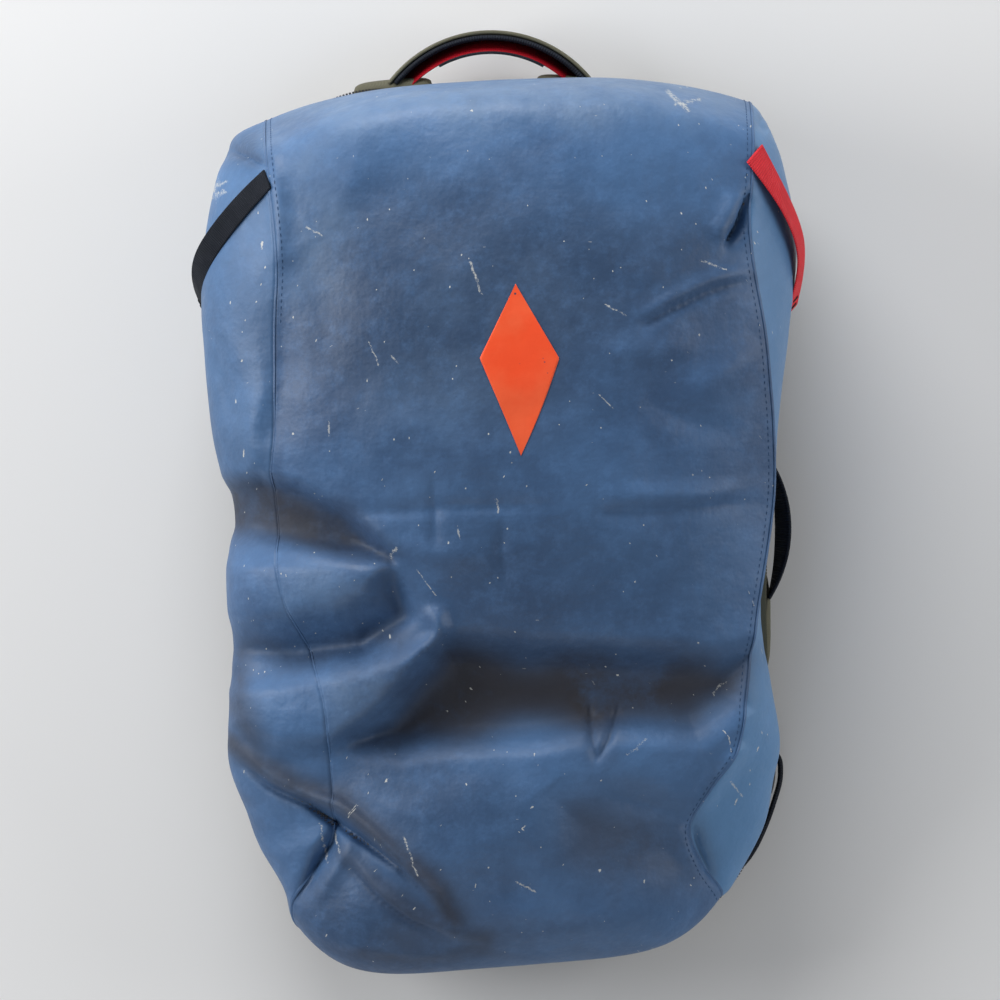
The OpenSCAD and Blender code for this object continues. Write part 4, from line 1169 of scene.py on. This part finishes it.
class BACKPACK_OT_zip(bpy.types.Operator):
    """Both halves of the zip: folded tape and a row of teeth"""
    bl_idname = "backpack.zip"
    bl_label = "Zip"

    def execute(self, context):
        for word, body, node, z0, z1, toward in (
                ("back", "root", "zip_back", ZIP_LOW[2], ZIP_HIGH[2], 1),
                ("lid", "lid", "zip_lid", LID_ZIP_LOW[2], LID_ZIP_HIGH[2], -1)):
            tape = rim_band(f"zip_tape_{word}", -0.8 * MM, 2.2 * MM, z0, z1, material("tape"),
                            body, samples=700, sag=0.5 * MM, keep=zip_run)
            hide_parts(node)
            plan, out = rim_path(1500, 3.0 * MM)
            run = zip_run(plan)[4:-4:2]
            mid = (z1 if toward > 0 else z0) - toward * 0.75 * MM
            spots = np.concatenate([plan[run], np.full((len(run), 1), mid)], 1)
            outs = np.concatenate([out[run], np.zeros((len(run), 1))], 1)
            ups = np.tile([0.0, 0.0, float(toward)], (len(run), 1))
            along = np.cross(ups, outs)
            tiled(f"zip_teeth_{word}", bar(1.7 * MM, 1.35 * MM, 1.3 * MM, 0.7), CUBE_FACES, spots,
                  outs, along, ups, material("teeth"), body)
        return {"FINISHED"}


def arch(cx, cy, radius, half_angle, samples, centre=90.0):
    """Points of an arc in plan about (cx, cy), its middle in the direction `centre`."""
    a = np.radians(np.linspace(centre + half_angle, centre - half_angle, samples))
    return np.stack([cx + radius * np.cos(a), cy + radius * np.sin(a)], 1)


class BACKPACK_OT_handles(bpy.types.Operator):
    """Top carry handle in three layers, side handle of webbing, and their sewn feet"""
    bl_idname = "backpack.handles"
    bl_label = "Handles"

    def execute(self, context):
        low, high = box("handle_cover")
        cx = (low[0] + high[0]) / 2
        reach = high[1] + 2 * MM
        foot = low[1]
        radius = ((high[0] - low[0])**2 / 4 + (reach - foot)**2) / (2 * (reach - foot))
        cy = reach - radius
        for name, node, mat, slot, inset, width, thick, turn, shift in (
                ("handle_outer", "handle_cover", "olive", "olive_nylon", 1.5, 19, 3.0, 0, 0),
                ("handle_middle", "handle_core", "black", "black_webbing", 4.6, 22, 3.6, 0, 0),
                ("handle_inner", "handle_lining", "red_lining", "red_lining", 9.8, 21, 1.6, 22, -1),
                ("handle_lip", None, "black", "black_webbing", 14.4, 2.2, 1.8, 0, 8.6)):
            r = radius - inset * MM
            lean = math.radians(turn)
            tuck = 8 * MM if node else -3 * MM
            spread = math.degrees(math.acos((foot - tuck - cy) / r))
            plan = arch(cx, cy, r, spread, 90)
            out = unit(np.stack([plan[:, 0] - cx, plan[:, 1] - cy], 1))
            path = np.concatenate([plan, np.full((90, 1), GRIP_Z + shift * MM)], 1)
            across = np.concatenate([out * -math.sin(lean), np.full((90, 1), math.cos(lean))], 1)
            narrow = 1 - 0.15 * np.abs(np.linspace(-1, 1, 90))**6
            obj = band(name, path, across, width * MM * narrow, thick * MM, material(mat),
                       "top_handle", power=3.4, count=32)
            if node:
                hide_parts(node)
        # Sewn feet of the top handle: two soft olive lumps
        low, high = box("handle_anchors")
        feet = ((low[0] - 8 * MM, low[0] + 42 * MM), (high[0] - 47 * MM, high[0]))
        for k, (x0, x1) in enumerate(feet):
            s = np.linspace(0, 1, 50)
            slope = (7.5 - 4.5 * s if k == 0 else 1 + 4 * s) * MM
            centre = np.stack([x0 + (x1 - x0) * s,
                               (low[1] + high[1]) / 2 - slope,
                               np.full(50, (low[2] + high[2]) / 2)], 1)
            lump = pillow(f"handle_foot_{k + 1}", centre, (high[1] - low[1]) / 2 + 0.5 * MM,
                          (high[2] - low[2]) / 2, (0, 1, 0), (0, 0, 1), material("olive"), "root",
                          power=2.6, ends=4)
            if k == 0:
                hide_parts("handle_anchors")
        # Side handle
        low, high = box("side_handle")
        half = (high[1] - low[1]) / 2
        bow = high[0] - low[0]
        radius = (half**2 + bow**2) / (2 * bow)
        cy, cx = (low[1] + high[1]) / 2, high[0] - radius
        spread = math.degrees(math.asin(half / radius)) - 0.6
        plan = arch(cx, cy, radius - 1.6 * MM, spread, 70, centre=0.0)
        plan[:, 0] -= (high[0] - 1.6 * MM - 179.3 * MM) * np.cos(
            np.linspace(-1, 1, 70) * math.pi / 2)
        out = unit(np.stack([plan[:, 0] - cx, plan[:, 1] - cy], 1))
        path = np.concatenate([plan, np.full((70, 1), GRIP_Z)], 1)
        lean = math.radians(32) * np.cos(np.linspace(-1, 1, 70) * math.pi / 2)
        across = np.concatenate([out * np.sin(lean)[:, None], np.cos(lean)[:, None]], 1)
        strap = band("side_grip", path, across, 17.5 * MM, 2.8 * MM, material("black"),
                     "side_handle", power=4)
        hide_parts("side_handle")
        low, high = box("side_handle_tabs")
        tab = 16 * MM
        for k, y in enumerate((low[1] + tab / 2, high[1] - tab / 2)):
            path = np.stack([np.full(20, (low[0] + high[0]) / 2 - 0.6 * MM),
                             np.linspace(y - tab / 2, y + tab / 2, 20),
                             np.full(20, GRIP_Z)], 1)
            obj = band(f"side_grip_foot_{k + 1}", path, (0, 0, 1), high[2] - low[2],
                       high[0] - low[0] - 1.2 * MM, material("black"), "root",
                       power=4)
            if k == 0:
                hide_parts("side_handle_tabs")
        return {"FINISHED"}


def cushion(name, node, body, mat, along, power=3.0, ends=8, grooves=(), groove=0.25,
            shrink=0.4 * MM):
    """Pad in the space of one CAD node: along is 0 or 1, the axis of its length. Grooves are
    sewn channels across it, where its height drops by `groove`."""
    low, high = box(node)
    low, high = low + shrink, high - shrink
    n = 120
    s = eased(n)
    centre = np.tile((low + high) / 2, (n, 1))
    centre[:, along] = low[along] + (high[along] - low[along]) * s
    side = 1 - along
    height = np.full(n, (high[2] - low[2]) / 2 - 1.2 * MM)
    across = np.eye(3)[side]
    obj = pillow(name, centre, (high[side] - low[side]) / 2 - 1 * MM, height, across, (0, 0, 1),
                 material(mat), body, power=power, ends=ends)
    inflated(obj, 5 * MM, low, high, grooves, along, groove)
    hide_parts(node)
    return obj


def strip_for(name, node, body, along, mat="black"):
    """Webbing strip in the space of one CAD node, along axis 0 or 1."""
    low, high = box(node)
    n = 60
    path = np.tile((low + high) / 2, (n, 1))
    path[:, along] = np.linspace(low[along], high[along], n)
    across = np.eye(3)[1 - along]
    obj = band(name, path, across, high[1 - along] - low[1 - along], high[2] - low[2],
               material(mat), body)
    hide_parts(node)
    return obj


class BACKPACK_OT_harness(bpy.types.Operator):
    """Yoke, shoulder pads, back pads, lumbar pad and all harness webbing"""
    bl_idname = "backpack.harness"
    bl_label = "Harness"

    def execute(self, context):
        cushion("yoke_padding", "strap_yoke", "root", "olive", 0, power=5, ends=10,
                grooves=(0.5,))
        for word, side in (("left", -1), ("right", 1)):
            cushion(f"back_padding_{word}", f"back_pad_{word}", "root", "mesh", 1,
                    power=3.4, ends=10, grooves=(0.25, 0.5, 0.75))
            strap = f"shoulder_strap_{word}"
            low, high = box(f"shoulder_pad_{word}")
            q = eased(140)
            inner = 33 + 65 * np.maximum(0, (q - 0.65) / 0.35)**1.5
            outer = 93 + 45 * q**2.5
            centre = np.stack([side * (inner + outer) / 2 * MM, high[1] - (high[1] - low[1]) * q,
                               np.full(140, (low[2] + high[2]) / 2)], 1)
            height = np.full(140, (high[2] - low[2]) / 2 - 1.2 * MM)
            pad = pillow(f"shoulder_padding_{word}", centre, ((outer - inner) / 2 - 1) * MM, height,
                         (1, 0, 0), (0, 0, 1), material("olive"), strap,
                         power=3.6, ends=10)
            inflated(pad, 5 * MM, low + 0.2 * MM, high - 0.2 * MM, (0.3, 0.5, 0.7), 1, 0.2)
            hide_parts(f"shoulder_pad_{word}")
            strip_for(f"shoulder_strip_{word}", f"shoulder_webbing_{word}", strap, 1)
            strip_for(f"lower_strip_{word}", f"lower_webbing_{word}", f"lower_strap_{word}", 1)
            strip_for(f"sternum_strip_{word}", f"sternum_webbing_{word}", f"sternum_{word}", 1)
            strip_for(f"hip_strip_{word}", f"hip_webbing_{word}", f"hip_{word}", 0)
        low, high = box("lumbar_pad")
        self.lumbar(low, high, 9 * MM)
        return {"FINISHED"}

    def lumbar(self, low, high, wall):
        """Lumbar pad: a crowned pad with two walls up to the back panel."""
        n = 140
        s = eased(n)
        mid = (low + high) / 2
        centre = np.stack([low[0] + (high[0] - low[0]) * s, np.full(n, mid[1]),
                           np.full(n, low[2] + wall / 2)], 1)
        height = np.full(n, wall / 2 - 1 * MM)
        pad = pillow("lumbar_padding", centre, (high[1] - low[1]) / 2 - 1 * MM, height, (0, 1, 0),
                     (0, 0, 1), material("mesh"), "root", power=4, ends=10)
        inflated(pad, 5 * MM, low, np.array([high[0], high[1], low[2] + wall]), (0.33, 0.5, 0.67),
                 0, 0.25)
        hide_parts("lumbar_pad")
        for word, y in (("low", low[1] + wall / 2), ("high", high[1] - wall / 2)):
            centre = np.stack([low[0] + (high[0] - low[0]) * s, np.full(n, y),
                               np.full(n, (low[2] + wall + high[2]) / 2 - 1 * MM)], 1)
            side = pillow(f"lumbar_edge_{word}", centre, wall / 2, (high[2] - low[2] - wall) / 2
                          + 1 * MM, (0, 1, 0), (0, 0, 1), material("olive"), "root",
                          power=4, ends=12)


class BACKPACK_OT_hip_wings(bpy.types.Operator):
    """Tucked-away hip wings of mesh with a black bound edge"""
    bl_idname = "backpack.hip_wings"
    bl_label = "Hip wings"

    def execute(self, context):
        for word, side in (("left", -1), ("right", 1)):
            low, high = box(f"hip_wing_{word}")
            tip = high[0] if side > 0 else -low[0]
            inner = low[0] if side > 0 else -high[0]
            n = 150
            s = eased(n)
            x = inner + (tip - inner) * s
            past = np.clip((x - (tip - 44 * MM)) / (44 * MM), 0, 1)
            top = high[1] - 7 * MM * np.clip((past - 0.8) / 0.2, 0, 1)**2
            bottom = low[1] + 62 * MM * past**2.6
            centre = np.stack([side * x, (top + bottom) / 2, np.full(n, (low[2] + high[2]) / 2)], 1)
            half = (top - bottom) / 2
            wing = pillow(f"wing_padding_{word}", centre, half - 1 * MM,
                          (high[2] - low[2]) / 2 - 0.8 * MM,
                          (0, 1, 0), (0, 0, 1), material("mesh"), f"hip_{word}",
                          power=3, ends=22)
            inflated(wing, 5 * MM, low + 0.2 * MM, high - 0.2 * MM, (0.3, 0.6), 0, 0.15)
            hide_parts(f"hip_wing_{word}")
            # Bound edge round the outer end
            k = np.linspace(0.35, 1, 60)
            xs = inner + (tip - inner) * k
            p = np.clip((xs - (tip - 44 * MM)) / (44 * MM), 0, 1)
            upper = np.stack([xs, high[1] - 7 * MM * np.clip((p - 0.8) / 0.2, 0, 1)**2], 1)
            lower = np.stack([xs, low[1] + 62 * MM * p**2.6], 1)[::-1]
            loop = np.vstack([upper, lower])
            far = lengths(loop)
            at = np.linspace(0, far[-1], 160)
            loop = np.stack([np.interp(at, far, loop[:, c]) for c in range(2)], 1)
            for _ in range(6):
                loop[1:-1] = (loop[:-2] + 2 * loop[1:-1] + loop[2:]) / 4
            path = np.stack([side * loop[:, 0], loop[:, 1],
                             np.full(160, (low[2] + high[2]) / 2)], 1)
            band(f"wing_binding_{word}", path, (0, 0, 1), 6.5 * MM, 3.4 * MM, material("black"),
                 f"hip_{word}", power=2.4)
        return {"FINISHED"}


class BACKPACK_OT_inside(bpy.types.Operator):
    """Laptop sleeve and the edge binding of the lid pocket"""
    bl_idname = "backpack.inside"
    bl_label = "Inside"

    def execute(self, context):
        low, high = box("laptop_sleeve")
        n = 120
        s = eased(n)
        front = 4 * MM
        centre = np.stack([np.full(n, (low[0] + high[0]) / 2), low[1] + (high[1] - low[1]) * s,
                           np.full(n, high[2] - front / 2)], 1)
        height = np.full(n, front / 2)
        for g in np.arange(0.14, 0.9, 0.14):
            height = height * (1 - 0.35 * np.exp(-((s - g) / 0.008)**2))
        pad = pillow("sleeve_front", centre, (high[0] - low[0]) / 2, height, (1, 0, 0), (0, 0, 1),
                     material("lining"), "root", power=8, ends=40)
        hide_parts("laptop_sleeve")
        base = low[2]
        for word, x in (("left", low[0] + 2 * MM), ("right", high[0] - 2 * MM)):
            path = np.stack([np.full(60, x), np.linspace(low[1] + 1 * MM, high[1], 60),
                             np.full(60, (base + high[2] - front) / 2)], 1)
            band(f"sleeve_side_{word}", path, (0, 0, 1), high[2] - front - base, 3.6 * MM,
                 material("lining"), "root")
        path = np.stack([np.linspace(low[0] + 3 * MM, high[0] - 3 * MM, 60),
                         np.full(60, low[1] + 2 * MM),
                         np.full(60, (base + high[2] - front) / 2)], 1)
        band("sleeve_foot", path, (0, 0, 1), high[2] - front - base, 3.6 * MM,
             material("lining"), "root")
        path = np.stack([np.linspace(low[0] + 1 * MM, high[0] - 1 * MM, 80),
                         np.full(80, high[1] - 5 * MM), np.full(80, high[2] + 0.2 * MM)], 1)
        band("sleeve_binding", path, (0, 1, 0), 10 * MM, 1.4 * MM, material("black"), "root")
        low, high = box("lid_pocket_binding")
        path = np.stack([np.linspace(low[0], high[0], 90),
                         np.full(90, (low[1] + high[1]) / 2),
                         np.full(90, (low[2] + high[2]) / 2)], 1)
        path[:, 2] += 0.3 * MM * np.sin(np.linspace(0, 24 * math.pi, 90))
        edge = band("pocket_edge", path, (0, 1, 0), high[1] - low[1], 2.2 * MM, material("black"),
                    "lid")
        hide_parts("lid_pocket_binding")
        return {"FINISHED"}


class BACKPACK_OT_hardware(bpy.types.Operator):
    """Finishes for the frame's own nodes that keep their shape"""
    bl_idname = "backpack.hardware"
    bl_label = "Hardware"

    def execute(self, context):
        finish = {
            "back_panel": "olive", "frame_sheet": "lining", "strap_anchors": "olive",
            "zip_end_tabs": "tape", "lid_pocket": "mesh",
            "zip_slider_upper": "metal", "zip_slider_lower": "metal",
            "zip_pull_upper": "plastic", "zip_pull_lower": "plastic",
        }
        for word in ("left", "right"):
            for node in ("ladder_lock", "sternum_rail", "sternum_clip", "sternum_buckle",
                         "hip_buckle"):
                finish[f"{node}_{word}"] = "plastic"
        for node, name in finish.items():
            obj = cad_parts[node]
            if not obj.material_slots:
                raise RuntimeError(f"{node} has no material slot")
            for place in obj.material_slots:
                place.material = material(name)
        return {"FINISHED"}


class BACKPACK_OT_stage(bpy.types.Operator):
    """Pale floor, soft lights and the camera straight above"""
    bl_idname = "backpack.stage"
    bl_label = "Stage"

    def execute(self, context):
        g = np.array([[[-4, -4, 0], [4, -4, 0]], [[-4, 4, 0], [4, 4, 0]]], float)
        floor = new_object("floor", g, np.array([[0, 1, 3, 2]]),
                           pale_floor("pale_floor", (0.80, 0.80, 0.80)), None, smooth=False)
        for name, place, aim, power, size in (
                ("top_window", (-0.5, 1.9, 1.0), (0, 0, 0.1), 36, 1.4),
                ("left_window", (-1.9, 0.3, 1.0), (0, 0, 0.1), 29, 1.4),
                ("right_wall", (1.9, 0.2, 0.8), (0, 0, 0.12), 14, 1.4),
                ("low_wall", (0.0, -1.9, 1.1), (0, 0, 0.1), 5, 1.6)):
            data = bpy.data.lights.new(name, "AREA")
            data.energy = power
            data.size = size
            data.shape = "DISK"
            lamp = bpy.data.objects.new(name, data)
            context.scene.collection.objects.link(lamp)
            lamp.location = place
            way = np.array(aim, float) - np.array(place, float)
            lamp.rotation_euler = look(way)
        world = bpy.data.worlds.new("studio")
        context.scene.world = world
        world.use_nodes = True
        back = world.node_tree.nodes["Background"]
        back.inputs["Color"].default_value = (0.93, 0.96, 1.0, 1)
        back.inputs["Strength"].default_value = 0.22
        data = bpy.data.cameras.new("camera")
        camera = bpy.data.objects.new("camera", data)
        context.scene.collection.objects.link(camera)
        height, plane, across = 12.0, 0.10, 0.63
        camera.location = (0, 0, height)
        camera.rotation_euler = (0, 0, 0)
        data.sensor_width = 36
        data.lens = 36 * (height - plane) / across
        data.clip_end = 40
        context.scene.camera = camera
        context.scene.view_settings.view_transform = "Standard"
        return {"FINISHED"}


def look(way):
    """Turn that points a lamp's -Z along a direction."""
    from mathutils import Vector
    return Vector(way).to_track_quat("-Z", "Y").to_euler()


class BACKPACK_PT_panel(bpy.types.Panel):
    """Sizes, colours and pieces of the backpack"""
    bl_label = "Clamshell Backpack"
    bl_idname = "BACKPACK_PT_panel"
    bl_space_type = "VIEW_3D"
    bl_region_type = "UI"
    bl_category = "Backpack"

    def draw(self, context):
        for group in (context.scene.backpack_body, context.scene.backpack_look):
            for key in group.__annotations__:
                self.layout.prop(group, key)
        for piece in PIECES:
            self.layout.operator(piece.bl_idname)


PIECES = (BACKPACK_OT_shell, BACKPACK_OT_seams, BACKPACK_OT_emblem, BACKPACK_OT_side_webbing,
          BACKPACK_OT_rim, BACKPACK_OT_zip, BACKPACK_OT_handles, BACKPACK_OT_harness,
          BACKPACK_OT_hip_wings, BACKPACK_OT_inside, BACKPACK_OT_hardware, BACKPACK_OT_stage)
CLASSES = (BackpackBody, BackpackLook, *PIECES, BACKPACK_PT_panel)


def register():
    for cls in CLASSES:
        bpy.utils.register_class(cls)
    bpy.types.Scene.backpack_body = bpy.props.PointerProperty(type=BackpackBody)
    bpy.types.Scene.backpack_look = bpy.props.PointerProperty(type=BackpackLook)


def unregister():
    del bpy.types.Scene.backpack_body
    del bpy.types.Scene.backpack_look
    for cls in reversed(CLASSES):
        bpy.utils.unregister_class(cls)


def main():
    register()
    make_materials(bpy.context.scene.backpack_look)
    for piece in PIECES:
        group, name = piece.bl_idname.split(".")
        if getattr(getattr(bpy.ops, group), name)() != {"FINISHED"}:
            raise RuntimeError(f"{piece.bl_idname} did not finish")


if __name__ == "__main__":
    main()
